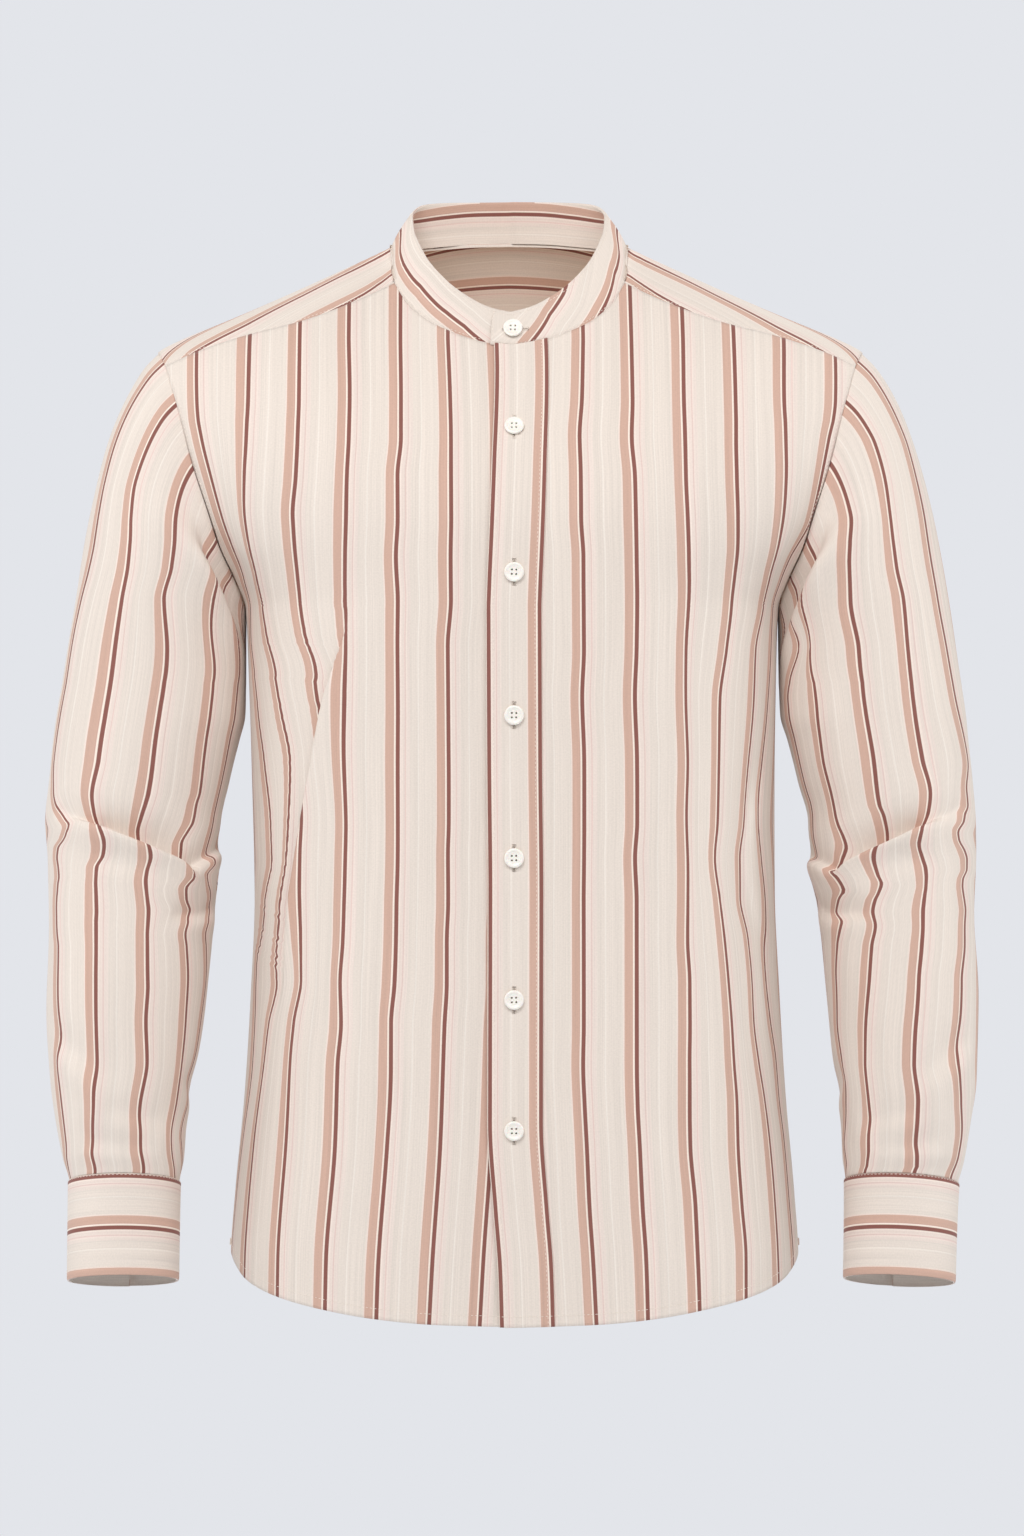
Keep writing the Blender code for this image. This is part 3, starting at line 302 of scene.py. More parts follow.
# The sleeves below the underarm: the outer and inner line, the middle and half depth in y, and
# how far the section tips its front edge up and drops its outer edge, in metres for each metre.
SLEEVE_COLUMNS = "height  outer  inner  middle_y half_depth tip  drop"
SLEEVES = {
    RIGHT: table(
        SLEEVE_COLUMNS,
        (-0.3000, 0.3147, 0.1862, 0.0040, 0.0700, 0.00, 0.00),
        (-0.3220, 0.3188, 0.1870, 0.0040, 0.0698, 0.01, 0.00),
        (-0.3400, 0.3213, 0.1912, 0.0040, 0.0695, 0.02, 0.00),
        (-0.3680, 0.3241, 0.1980, 0.0035, 0.0685, 0.04, 0.00),
        (-0.3960, 0.3268, 0.2040, 0.0025, 0.0670, 0.07, 0.00),
        (-0.4240, 0.3246, 0.2050, 0.0000, 0.0655, 0.10, 0.00),
        (-0.4660, 0.3237, 0.2085, -0.0050, 0.0630, 0.13, 0.00),
        (-0.5200, 0.3247, 0.2135, -0.0130, 0.0595, 0.16, 0.00),
        (-0.5750, 0.3214, 0.2216, -0.0215, 0.0535, 0.17, 0.00),
        (-0.6030, 0.3176, 0.2264, -0.0260, 0.0490, 0.19, 0.00),
        (-0.6310, 0.3123, 0.2284, -0.0300, 0.0430, 0.21, 0.00),
        (-0.6480, 0.3074, 0.2313, -0.0325, 0.0375, 0.22, 0.00),
        (-0.7300, 0.3075, 0.2322, -0.0440, 0.0362, 0.18, 0.01),
    ),
    LEFT: table(
        SLEEVE_COLUMNS,
        (-0.3000, 0.3150, 0.1864, 0.0040, 0.0700, 0.00, 0.00),
        (-0.3220, 0.3180, 0.1876, 0.0040, 0.0698, 0.01, 0.00),
        (-0.3400, 0.3195, 0.1930, 0.0040, 0.0695, 0.02, 0.00),
        (-0.3680, 0.3222, 0.2005, 0.0035, 0.0685, 0.04, 0.00),
        (-0.3960, 0.3241, 0.2078, 0.0025, 0.0670, 0.07, 0.00),
        (-0.4240, 0.3245, 0.2082, 0.0000, 0.0655, 0.10, 0.00),
        (-0.4660, 0.3235, 0.2146, -0.0050, 0.0630, 0.13, 0.00),
        (-0.5200, 0.3252, 0.2200, -0.0130, 0.0595, 0.16, 0.01),
        (-0.5750, 0.3235, 0.2247, -0.0215, 0.0535, 0.17, 0.02),
        (-0.6030, 0.3195, 0.2287, -0.0260, 0.0490, 0.19, 0.03),
        (-0.6310, 0.3145, 0.2300, -0.0300, 0.0430, 0.21, 0.04),
        (-0.6480, 0.3097, 0.2318, -0.0325, 0.0375, 0.22, 0.05),
        (-0.7300, 0.3058, 0.2304, -0.0440, 0.0362, 0.18, 0.05),
    ),
}
SLEEVE_SEAM = 187.2  # degrees round the arm, just behind the underarm
SLEEVE_START_HEIGHT = -0.300  # above this the sleeve head blends into the armhole

# Creases. Each follows a curve through three places. The cloth on the right of its way, looking
# along it, comes forward by the step while the cloth on the left sinks, the tuck draws the two
# over each other, and the swell lifts or sinks the line itself. Sizes are in millimetres.
CREASE_COLUMNS = "a0 b0 a1 b1 a2 b2 half_width swell step tuck"

# On the sleeves a is the angle round the arm, 0 outside, 90 in front, and b the height.
CREASES_OF_BOTH_SLEEVES = (
    (62, -0.160, 105, -0.206, 150, -0.262, 10.0, 2.5, 2.5, 1.5),
    (95, -0.190, 130, -0.232, 175, -0.290, 8.0, 0.0, 3.5, 4.0),
    (20, -0.5490, 55, -0.5600, 95, -0.5880, 10.0, -1.5, 1.5, 0.5),
    (70, -0.5930, 110, -0.6010, 150, -0.6060, 9.0, -2.0, 1.0, 0.5),
    (40, -0.6150, 90, -0.6210, 140, -0.6180, 8.0, -1.5, 1.0, 0.0),
    (150, -0.5700, 175, -0.5820, 205, -0.5900, 9.0, -2.0, 1.0, 0.0),
    (210, -0.4000, 255, -0.4100, 310, -0.4020, 12.0, -3.5, 0.0, 0.0),
    (200, -0.5850, 250, -0.5950, 300, -0.5850, 12.0, -2.5, 0.0, 0.0),
)
SLEEVE_CREASES = {
    RIGHT: table(
        CREASE_COLUMNS,
        *CREASES_OF_BOTH_SLEEVES,
        (42, -0.3870, 98, -0.4125, 158, -0.4400, 9.0, 0.0, 6.0, 10.0),
        (58, -0.3890, 98, -0.4000, 142, -0.4090, 9.0, -3.0, 0.0, 0.0),
        (50, -0.4020, 98, -0.4240, 150, -0.4460, 8.0, 2.5, 0.0, 0.0),
        (58, -0.4180, 96, -0.4300, 140, -0.4450, 7.0, -3.0, 1.0, 0.5),
        (30, -0.3850, 48, -0.3940, 70, -0.4020, 8.0, -2.5, 1.5, 2.0),
        (130, -0.4300, 160, -0.4200, 198, -0.4160, 7.0, -1.5, 3.0, 3.0),
        (118, -0.4600, 150, -0.4620, 195, -0.4540, 7.0, -2.5, 2.0, 1.5),
    ),
    LEFT: table(
        CREASE_COLUMNS,
        *CREASES_OF_BOTH_SLEEVES,
        (48, -0.3860, 100, -0.4140, 158, -0.4400, 9.0, 0.0, 6.0, 10.0),
        (60, -0.3870, 105, -0.4040, 145, -0.4160, 9.0, -3.5, 0.0, 0.0),
        (58, -0.4030, 98, -0.4225, 150, -0.4460, 8.0, 2.5, 0.0, 0.0),
        (62, -0.4180, 100, -0.4310, 142, -0.4440, 7.0, -3.0, 1.0, 0.5),
        (30, -0.3850, 48, -0.3920, 70, -0.4000, 8.0, -2.5, 1.5, 2.0),
        (130, -0.4300, 160, -0.4250, 198, -0.4210, 7.0, -1.5, 3.0, 3.0),
        (108, -0.4560, 145, -0.4620, 195, -0.4540, 7.0, -2.5, 2.0, 1.5),
    ),
}
DEGREE_WIDTH = 0.0011  # of a sleeve
CREASE_REACH = 4  # half widths from its line at which a crease ends
CREASE_FADE = 0.32  # share of a crease's length over which each end dies away
PUSH_SCALE = 1.65  # makes a step's push 1 where it is greatest
NO_SLIDE = 1e-6

# On the body a is the distance from the middle and b the height.
FRONT_CREASES = {
    RIGHT: table(
        CREASE_COLUMNS,
        (0.1040, -0.217, 0.1390, -0.385, 0.1680, -0.555, 12.0, 0.0, 2.2, 16.0),
        (0.1330, -0.255, 0.1500, -0.330, 0.1720, -0.420, 13.0, -1.5, 0.0, 0.0),
        (0.0900, -0.560, 0.0980, -0.640, 0.1080, -0.720, 16.0, -1.5, 0.0, 0.0),
    ),
    LEFT: table(
        CREASE_COLUMNS,
        (0.1270, -0.210, 0.1285, -0.340, 0.1320, -0.500, 13.0, -4.0, 0.0, 0.0),
        (0.1830, -0.510, 0.1600, -0.425, 0.1800, -0.340, 12.0, 0.0, 1.6, 4.0),
        (0.1000, -0.560, 0.1080, -0.640, 0.1180, -0.720, 16.0, -1.5, 0.0, 0.0),
    ),
}
BACK_CREASES = {
    RIGHT: table(
        CREASE_COLUMNS,
        (0.100, -0.250, 0.112, -0.430, 0.120, -0.620, 18.0, -5.0, 1.0, 0.0),
        (0.050, -0.320, 0.055, -0.480, 0.060, -0.660, 18.0, -3.5, 0.0, 0.0),
        (0.150, -0.230, 0.140, -0.300, 0.125, -0.380, 12.0, 3.0, 1.0, 0.0),
    ),
    LEFT: table(
        CREASE_COLUMNS,
        (0.096, -0.250, 0.108, -0.420, 0.118, -0.610, 18.0, -5.0, 1.0, 0.0),
        (0.045, -0.340, 0.050, -0.500, 0.055, -0.670, 18.0, -3.5, 0.0, 0.0),
        (0.150, -0.230, 0.142, -0.300, 0.130, -0.380, 12.0, 3.0, 1.0, 0.0),
    ),
}


# ------------------------------------------------------------------ curves


def through(xs, ys):
    """A smooth curve through the points that stays between neighbours, held at both ends."""
    order = np.argsort(xs)
    xs, ys = xs[order], ys[order]
    step = np.diff(xs)
    slope = np.diff(ys) / step
    turn = np.zeros(len(xs))
    turn[0], turn[-1] = slope[0], slope[-1]
    same = slope[:-1] * slope[1:] > 0
    mean = 2 * slope[:-1] * slope[1:] / np.where(same, slope[:-1] + slope[1:], 1)
    turn[1:-1] = np.where(same, mean, 0)

    fine = np.linspace(xs[0], xs[-1], CURVE_STEPS)
    i = np.clip(np.searchsorted(xs, fine) - 1, 0, len(step) - 1)
    t = (fine - xs[i]) / step[i]
    start = (1 - t) ** 2 * t * turn[i]
    end = (t - 1) * t * t * turn[i + 1]
    curve = ys[i] + (3 - 2 * t) * t * t * (ys[i + 1] - ys[i]) + step[i] * (start + end)
    return lambda x: np.interp(x, fine, curve)


def ease(t):
    """0 to 1 with level ends."""
    t = np.clip(t, 0, 1)
    return t * t * (3 - 2 * t)


def bell(t):
    return np.exp(-t * t)


def unit(vectors):
    return vectors / np.maximum(np.linalg.norm(vectors, axis=-1, keepdims=True), 1e-12)


def lengths(points):
    """Distance along a line of points, from its first."""
    return np.concatenate([[0.0], np.cumsum(np.linalg.norm(np.diff(points, axis=0), axis=1))])


def spread(points, shares):
    """The points at these shares of a line's length."""
    along = lengths(points)
    wanted = np.asarray(shares) * along[-1]
    return np.stack([np.interp(wanted, along, points[:, k]) for k in range(points.shape[1])], axis=-1)


half_width = through(BODY["height"], BODY["half_width"])
front_depth = through(BODY["height"], BODY["front_depth"])
back_depth = through(BODY["height"], BODY["back_depth"])
lean = through(BODY["height"], BODY["lean"])
armhole_across = through(ARMHOLE["height"], ARMHOLE["across"])
ridge_height = through(RIDGE["across"], RIDGE["height"])
front_rounding = through(ROUNDING["across"], ROUNDING["front"])
back_rounding = through(ROUNDING["across"], ROUNDING["back"])
yoke_seam_height = through(YOKE_SEAM["across"], YOKE_SEAM["height"])
lap_edge = through(LAP_EDGE["height"], LAP_EDGE["across"])
hem_height = through(HEM["share"], HEM["height"])


# ------------------------------------------------------------------ the body's form


def depth_at(face, x, z):
    """y of the body's front or back face at this distance from the middle and this height."""
    reach = np.clip(np.abs(x) / half_width(z), 0, 1)
    flat = (1 - reach**SQUARENESS) ** (1 / SQUARENESS)
    depth = (front_depth(z) if face == FRONT else back_depth(z)) * flat
    full = FULL_FRONT_HEIGHT if face == FRONT else FULL_BACK_HEIGHT
    rise = np.clip((z - full) / (ridge_height(np.abs(x)) - full), 0, 1)
    rounding = front_rounding if face == FRONT else back_rounding
    return face * depth * (1 - rise * rise) ** rounding(np.abs(x))


def section(face, z):
    """A section's x and its distance along the cloth, from the middle to the side or armhole."""
    z = np.asarray(z, dtype=float)[..., None]
    width = half_width(z)
    end = np.where(z > ARMPIT_HEIGHT, np.minimum(armhole_across(z), width), width)
    last_turn = np.arcsin(np.clip((end / width) ** (SQUARENESS / 2), 0, 1))
    x = width * np.sin(last_turn * np.linspace(0, 1, SECTION_STEPS)) ** (2 / SQUARENESS)
    y = depth_at(face, x, z + 0 * x)
    pieces = np.hypot(np.diff(x), np.diff(y))
    along = np.concatenate([0 * x[..., :1], np.cumsum(pieces, axis=-1)], axis=-1)
    return x, along


def read(wanted, along, values):
    """Each row's value at its wanted distance."""
    i = np.clip((along < wanted[..., None]).sum(-1) - 1, 0, along.shape[-1] - 2)[..., None]
    low = np.take_along_axis(along, i, -1)[..., 0]
    high = np.take_along_axis(along, i + 1, -1)[..., 0]
    first = np.take_along_axis(values, i, -1)[..., 0]
    second = np.take_along_axis(values, i + 1, -1)[..., 0]
    return first + (second - first) * (wanted - low) / (high - low)


def drawn_section(face, z):
    """The section that a row's columns are spaced by: above the chest it is the chest's, widened."""
    xs, along = section(face, np.minimum(z, CHEST_HEIGHT))
    end = np.minimum(armhole_across(z), half_width(z))
    return xs, along, np.where(z > CHEST_HEIGHT, end / xs[..., -1], 1.0)


def arc_at(face, x, z):
    """Distance along the cloth from the middle to x, with the sign of x, and the section's whole."""
    xs, along, widened = drawn_section(face, z)
    size = np.minimum(np.abs(x) / widened, xs[..., -1])
    return np.sign(x) * read(size, xs, along), along[..., -1]


def body_points(face, share, z):
    """Points of the body at these shares of the way to the wearer's left side, or right."""
    xs, along, widened = drawn_section(face, z)
    x = np.sign(share) * read(np.abs(share) * along[..., -1], along, xs) * widened
    points = np.stack([x + lean(z), depth_at(face, x, z), z], axis=-1)
    chest_x, chest_along = section(face, CHEST_HEIGHT)
    size = np.abs(x)
    beyond = np.maximum(size - chest_x[-1], 0) * SHOULDER_SLANT
    chest = np.sign(x) * (np.interp(size, chest_x, chest_along) + beyond)
    return points, np.where(z > CHEST_HEIGHT, chest, share * along[..., -1])


def share_of(face, x, z):
    arc, whole = arc_at(face, x, z)
    return arc / whole


def rows_of_heights(hem, top):
    """Heights from the hem to the top of each column, with one level row at the armpit."""
    up = np.linspace(0, 1, LOW_STEPS + 1)[:, None]
    lower = hem + (ARMPIT_HEIGHT - hem) * up
    up = np.linspace(0, 1, ARMHOLE_STEPS + 1)[1:, None]
    return np.vstack([lower, ARMPIT_HEIGHT + (top - ARMPIT_HEIGHT) * up])


def body_grid(face, edge_share, top_share, top):
    """A panel's points, and their signed distance along the cloth from the middle."""
    hem = hem_height(np.abs(edge_share(HEM["height"][0])))
    heights = rows_of_heights(hem, top)
    shares = np.empty_like(heights)
    for k, z in enumerate(heights):
        up = max(0.0, (k - LOW_STEPS) / ARMHOLE_STEPS)
        shares[k] = edge_share(z) * (1 - up) + top_share * up
    return body_points(face, shares, heights)


def lap_depth(x):
    """How far the under layer sinks beneath the left front."""
    return LAP_DEPTH * ease((x - LAP_START) / (LAP_FULL - LAP_START))


def mirror(points):
    """The other side's points, leaning the same way."""
    other = points.copy()
    other[..., 0] = 2 * lean(points[..., 2]) - points[..., 0]
    return other


# ------------------------------------------------------------------ directions and creases


def body_middle(points):
    """The nearest point of the body's middle line, which the body's faces look away from."""
    reach, narrowing, top = BODY_CORE
    middle = points.copy()
    middle[..., 0] = np.clip(points[..., 0], -reach, reach) * narrowing
    middle[..., 1] = 0.0
    middle[..., 2] = np.minimum(points[..., 2], top)
    return middle


def arm_middle(points):
    return np.broadcast_to(points.mean(axis=1, keepdims=True), points.shape)


def neck_middle(points):
    narrowing, y = COLLAR_FACING
    return points * [narrowing, narrowing, 1] + [0, y, 0]


def slopes(points, closed):
    """A grid's directions along its rows and up its columns."""
    wide = np.concatenate([points[:, -1:], points, points[:, :1]], axis=1) if closed else points
    across = np.gradient(wide, axis=1)
    if closed:
        across = across[:, 1:-1]
    return unit(across), unit(np.gradient(points, axis=0))


def outward(points, closed, middle):
    """Unit normals of a grid, pointing away from its middle."""
    across, along = slopes(points, closed)
    normal = unit(np.cross(across, along))
    facing = np.sum(normal * (points - middle(points)), axis=-1)
    return normal * (1 if np.sum(facing) > 0 else -1)


def crease_moves(flat, path, half_width, swell, step, tuck):
    """A crease's moves off the cloth and across the crease, with the crease's right-hand way."""
    q = np.linspace(0, 1, CREASE_STEPS)[:, None]
    line = path[0] * (1 - q) * (1 - 2 * q) + path[1] * 4 * q * (1 - q) + path[2] * q * (2 * q - 1)
    way = unit(np.gradient(line, axis=0))
    reach = CREASE_REACH * half_width
    near = np.all((flat > line.min(0) - reach) & (flat < line.max(0) + reach), axis=-1)
    places = flat[near]
    nearest = np.argmin(((places[:, None] - line[None]) ** 2).sum(-1), axis=1)
    offset = places - line[nearest]
    right = np.stack([way[:, 1], -way[:, 0]], axis=-1)[nearest]
    beside = (offset * right).sum(-1)
    share = q[nearest, 0]
    fade = ease(share / CREASE_FADE) * ease((1 - share) / CREASE_FADE)
    r = beside / half_width
    push = PUSH_SCALE * r * np.exp(-r * r / 2)
    off = (swell * bell(r) + step * push) * fade
    return near, off, (-tuck * push * fade)[:, None] * right


def crease(points, flat, normals, creases, scale=(1.0, 1.0), wrap=None):
    """Lays a table of creases into a grid of cloth, and says how far each point slides across."""
    across, along = slopes(points, wrap is not None)
    up = along * np.sign(np.gradient(flat[..., 1], axis=0))[..., None]
    result = points.copy()
    slide = np.zeros(flat.shape[:-1])
    for k in range(len(creases["swell"])):
        row = {name: column[k] for name, column in creases.items()}
        path = np.array([(row[f"a{n}"], row[f"b{n}"]) for n in range(3)]) * scale
        places = flat * scale
        if wrap:
            turn = wrap * scale[0]
            places[..., 0] = path[1, 0] + (places[..., 0] - path[1, 0] + turn / 2) % turn - turn / 2
        sizes = [row[name] / 1000 for name in ("half_width", "swell", "step", "tuck")]
        near, off, over = crease_moves(places, path, *sizes)
        result[near] += normals[near] * off[:, None]
        result[near] += across[near] * over[:, :1] + up[near] * over[:, 1:]
        slide[near] += over[:, 0]
    return result, slide


def cloth_arc(arc, slide):
    """Distance across the cloth itself, through any layers that a fold hides, from the first column."""
    moved = np.diff(arc + slide, axis=1)
    steps = np.where(np.abs(np.diff(slide, axis=1)) > NO_SLIDE, np.abs(moved), moved)
    return arc[:, :1] + np.concatenate([0 * arc[:, :1], np.cumsum(steps, axis=1)], axis=1)


RIPPLE_WAVES = 9
SHORTEST_WAVE = 0.35  # as a share of the longest
RIPPLE_STRETCH = 0.6  # below 1, the waves run longer down the cloth than across it


def ripple(flat, seed, size, longest):
    """Slight unevenness: a few waves in random directions."""
    rng = np.random.default_rng(seed)
    total = np.zeros(flat.shape[:-1])
    for _ in range(RIPPLE_WAVES):
        turn, phase = rng.uniform(0, 2 * np.pi, 2)
        wave = longest * rng.uniform(SHORTEST_WAVE, 1.0)
        reach = flat[..., 0] * np.cos(turn) + RIPPLE_STRETCH * flat[..., 1] * np.sin(turn)
        total += np.sin(2 * np.pi * reach / wave + phase) * wave / longest
    return total * size / np.sqrt(RIPPLE_WAVES)


# ------------------------------------------------------------------ meshes


def make_mesh(name, verts, faces, uv, material):
    """An object from arrays. The faces are quads, and uv has a place for each face's corner."""
    mesh = bpy.data.meshes.new(name)
    mesh.vertices.add(len(verts))
    mesh.vertices.foreach_set("co", np.ascontiguousarray(verts, dtype=np.float32).ravel())
    mesh.loops.add(faces.size)
    mesh.loops.foreach_set("vertex_index", faces.ravel().astype(np.int32))
    mesh.polygons.add(len(faces))
    mesh.polygons.foreach_set("loop_start", (np.arange(len(faces)) * 4).astype(np.int32))
    mesh.update(calc_edges=True)
    layer = mesh.uv_layers.new(name="cloth")
    layer.data.foreach_set("uv", uv.astype(np.float32).ravel())
    mesh.validate()
    mesh.shade_smooth()
    mesh.materials.append(material)
    obj = bpy.data.objects.new(name, mesh)
    bpy.context.scene.collection.objects.link(obj)
    return obj


def cloth_object(name, points, flat, normals, closed):
    """A sheet from a grid. A closed grid's flat places have one more column than its points."""
    rows, columns = points.shape[:2]
    steps = columns if closed else columns - 1
    r, c = np.meshgrid(np.arange(rows - 1), np.arange(steps), indexing="ij")
    r, c = r.ravel(), c.ravel()
    corners = [(r, c), (r, c + 1), (r + 1, c + 1), (r + 1, c)]
    faces = np.stack([i * columns + j % columns for i, j in corners], axis=-1)
    uv = np.stack([flat[i, j] for i, j in corners], axis=1)
    flat_points = points.reshape(-1, 3)
    a, b, d = (flat_points[faces[:, k]] for k in (0, 1, 3))
    facing = np.sum(np.cross(b - a, d - a) * normals.reshape(-1, 3)[faces[:, 0]])
    if facing < 0:
        faces, uv = faces[:, ::-1], uv[:, ::-1]
    return make_mesh(name, flat_points, faces, uv, stripes)


def add_rows(grid, before=(), after=()):
    return np.concatenate([*[row[None] for row in before], grid, *[row[None] for row in after]])


def turn_hem(points, flat, normals):
    """Turns the cloth at the first row inside and back along the sheet."""
    column = points.shape[1] // 2
    along = np.linalg.norm(points[1:, column] - points[0, column], axis=-1)
    count = max(2, int(np.searchsorted(along, HEM_WIDTH)) + 1)
    inner_points, inner_flat, inner_normals = [], [], []
    for k in range(count, 0, -1):
        inner_points.append(points[k] - normals[k] * HEM_LAYER)
        inner_flat.append(2 * flat[0] - flat[k])
        inner_normals.append(-normals[k])
    down = unit(points[0] - points[1])
    for depth, reach in HEM_FOLD:
        inner_points.append(points[0] - normals[0] * depth + down * reach)
        inner_flat.append(flat[0])
        inner_normals.append(down)
    return add_rows(points, inner_points), add_rows(flat, inner_flat), add_rows(normals, inner_normals)


def swap(*grids):
    return [grid.swapaxes(0, 1) for grid in grids]


def tuck_edge(points, flat, normals, edge):
    """Rolls the cloth at one edge in, where it goes under at a seam."""
    sheet = [points, flat, normals]
    if edge in ("left", "right"):
        sheet = swap(*sheet)
    if edge in ("top", "right"):
        sheet = [grid[::-1] for grid in sheet]
    points, flat, normals = sheet
    out = unit(points[0] - points[1])
    under = [points[0] - normals[0] * depth + out * reach for depth, reach in SEAM_TUCK]
    sheet = [
        add_rows(points, under),
        add_rows(flat, [flat[0]] * len(under)),
        add_rows(normals, [normals[0]] * len(under)),
    ]
    if edge in ("top", "right"):
        sheet = [grid[::-1] for grid in sheet]
    return swap(*sheet) if edge in ("left", "right") else sheet


def tuck_edges(sheet, *edges):
    """Tucks a sheet in at some of its edges: the bottom, top, left and right of its grid."""
    for edge in edges:
        sheet = tuck_edge(*sheet, edge)
    return sheet


def dress(name, node, sheet, closed=False):
    """Makes a cloth piece that stands for its node."""
    obj = cloth_object(name, *sheet, closed)
    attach(obj, "root")
    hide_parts(node)


# ------------------------------------------------------------------ neck, fronts, back and yoke


def neck_line():
    """Half of the neck seam, from the middle of the back to the front, and its table rows."""
    rows = np.arange(len(NECK["across"]))
    fine = np.linspace(0, rows[-1], NECK_LINE_STEPS)
    x, z = through(rows, NECK["across"])(fine), through(rows, NECK["height"])(fine)
    behind = fine < NECK_RIDGE_ROW
    z = np.where(behind, np.minimum(z, ridge_height(x)), z)
    y = np.where(behind, depth_at(BACK, x, z), depth_at(FRONT, x, z))
    near = np.abs(fine - NECK_RIDGE_ROW) <= 1
    around = rows[NECK_SMOOTHING]
    smooth_y = through(around, np.interp(around, fine, y))
    return fine, np.stack([x, np.where(near, smooth_y(fine), y), z], axis=-1)


def front_top(across):
    """Height of the front's upper edge: the neck seam, then the yoke seam."""
    rows = slice(NECK_CORNER_ROW, None)
    neck = through(NECK["across"][rows], NECK["height"][rows])
    size = np.abs(across)
    return np.where(size < YOKE_SEAM["across"][0], neck(size), yoke_seam_height(size))


def front_across(side):
    """Where a front's columns meet its upper edge: its middle edge, the neck corner, the armhole."""
    first = lap_edge(YOKE_SEAM["height"][0] - FRONT_TOP_DROP) if side == LEFT else -UNDER_EDGE
    corner, tip = YOKE_SEAM["across"][0], YOKE_SEAM["across"][-1]
    neck = np.linspace(first, corner, FRONT_NECK_STEPS + 1)
    return np.concatenate([neck, np.linspace(corner, tip, SHOULDER_STEPS + 1)[1:]])


FRONT_LINE = {RIGHT: 0.0430, LEFT: 0.0490}  # first maroon line's distance from the middle

# How far each maroon line of a front stands outside its plumb place, in millimetres.
FRONT_LINES = {
    RIGHT: table(
        "height  first second third fourth fifth sixth",
        (-0.740, 15.5, 17.5, 20, 24, 26, 28),
        (-0.695, 13, 16, 19, 23.5, 25.5, 24.5),
        (-0.618, 8, 10.5, 13, 19, 20.5, 8),
        (-0.562, 6, 7.5, 11.5, 16.5, 10, -6),
        (-0.534, 5, 7.5, 9, 13, 5, -6.5),
        (-0.506, 3.5, 5, 10, 6.5, -3, -5),
        (-0.478, 3.5, 4, 8, 6.5, 9, -5),
        (-0.450, 2.5, 3.5, 7, 7, 18, 1),
        (-0.422, 2.5, 2.5, 6, 6, 11.5, -9),
        (-0.395, 1.5, 2, 5, 4, 8, -8),
        (-0.353, 1, 1.5, 5.5, 9, 5.5, -1),
        (-0.312, 1, 1, 4, 13.5, 13, 9.5),
        (-0.277, 1, 1, 3, 1, 5, 2),
        (-0.243, -1.5, 0.5, 3.5, 5, 11, -3),
        (-0.216, -1.5, 1.5, 2.5, 5, 9.5, -9),
        (-0.188, -2, 0, 1, 5, 9, -5.5),
        (-0.160, -2, 0, 0, 1.5, 6, -1.5),
        (-0.133, -2, -2.5, -1.5, -0.5, 2.5, 3),
        (-0.105, -1.5, -2.5, -2, -1.5, 0.5, 6),
        (-0.063, 0, -2, -1, -1.5, 0, 7),
    ),
    LEFT: table(
        "height  first second third fourth fifth sixth",
        (-0.740, 7, 8, 11, 13, 12, 4),
        (-0.694, 4.5, 6.5, 9.5, 13.5, 11, 0.5),
        (-0.659, 2, 4, 8, 10.5, 9.5, -2.5),
        (-0.617, 0, 2, 4, 7.5, 5.5, -6),
        (-0.589, -1.5, 0.5, 3.5, 7, 1, -11.5),
        (-0.562, -2.5, 0, 3.5, 5, -5, -14),
        (-0.534, -2, 0, 4, 3.5, -9.5, -22),
        (-0.506, -2, 0, 4, 1, -10.5, -27),
        (-0.478, -2, 0, 2.5, -2, -13, -28),
        (-0.450, -2, 0, 3, -5.5, -21, -28),
        (-0.422, -1.5, -1, 3.5, -9, -21, -33),
        (-0.396, -1, 1, 3, -6.5, -16, -38),
        (-0.353, -0.5, 1.5, 5, -5.5, -11, -27.5),
        (-0.312, -1.5, 0.5, 4, -4.5, -5, -17),
        (-0.277, 0, 2, 4.5, 1.5, -2.5, -11),
        (-0.243, 0, 2.5, 6, 6, 8, -10),
        (-0.216, 0, 2, 4.5, 6.5, 7, -11),
        (-0.188, -1.5, 1.5, 3, 5, 7, 0.5),
        (-0.160, -1.5, 1, 1.5, 3, 6, 2),
        (-0.133, -2, -1, 1, 2, 4, 4.5),
        (-0.105, 0, 0, 0.5, 2, 2.5, 9.5),
        (-0.063, 1.5, 0, 1, 2, 4, 11),
    ),
}


def laid(chart, first, across, height):
    """Distances across the flat cloth, where a chart says how the lines stand on the garment."""
    names = [name for name in chart if name != "height"]
    spots = [
        first + STRIPE_REPEAT * k + through(chart["height"], chart[name] / 1000)(height)
        for k, name in enumerate(names)
    ]
    flat = first + np.minimum(across - spots[0], 0) + np.maximum(across - spots[-1], 0)
    for near, far in zip(spots[:-1], spots[1:]):
        flat += STRIPE_REPEAT * np.clip((across - near) / (far - near), 0, 1)
    return flat


def front_flat(side, arc, z):
    """Places in the flat cloth: across the stripes, and along them."""
    across = laid(FRONT_LINES[side], FRONT_LINE[side], arc, z) - FRONT_LINE[side]
    return np.stack([side * across + MAROON, z], axis=-1)


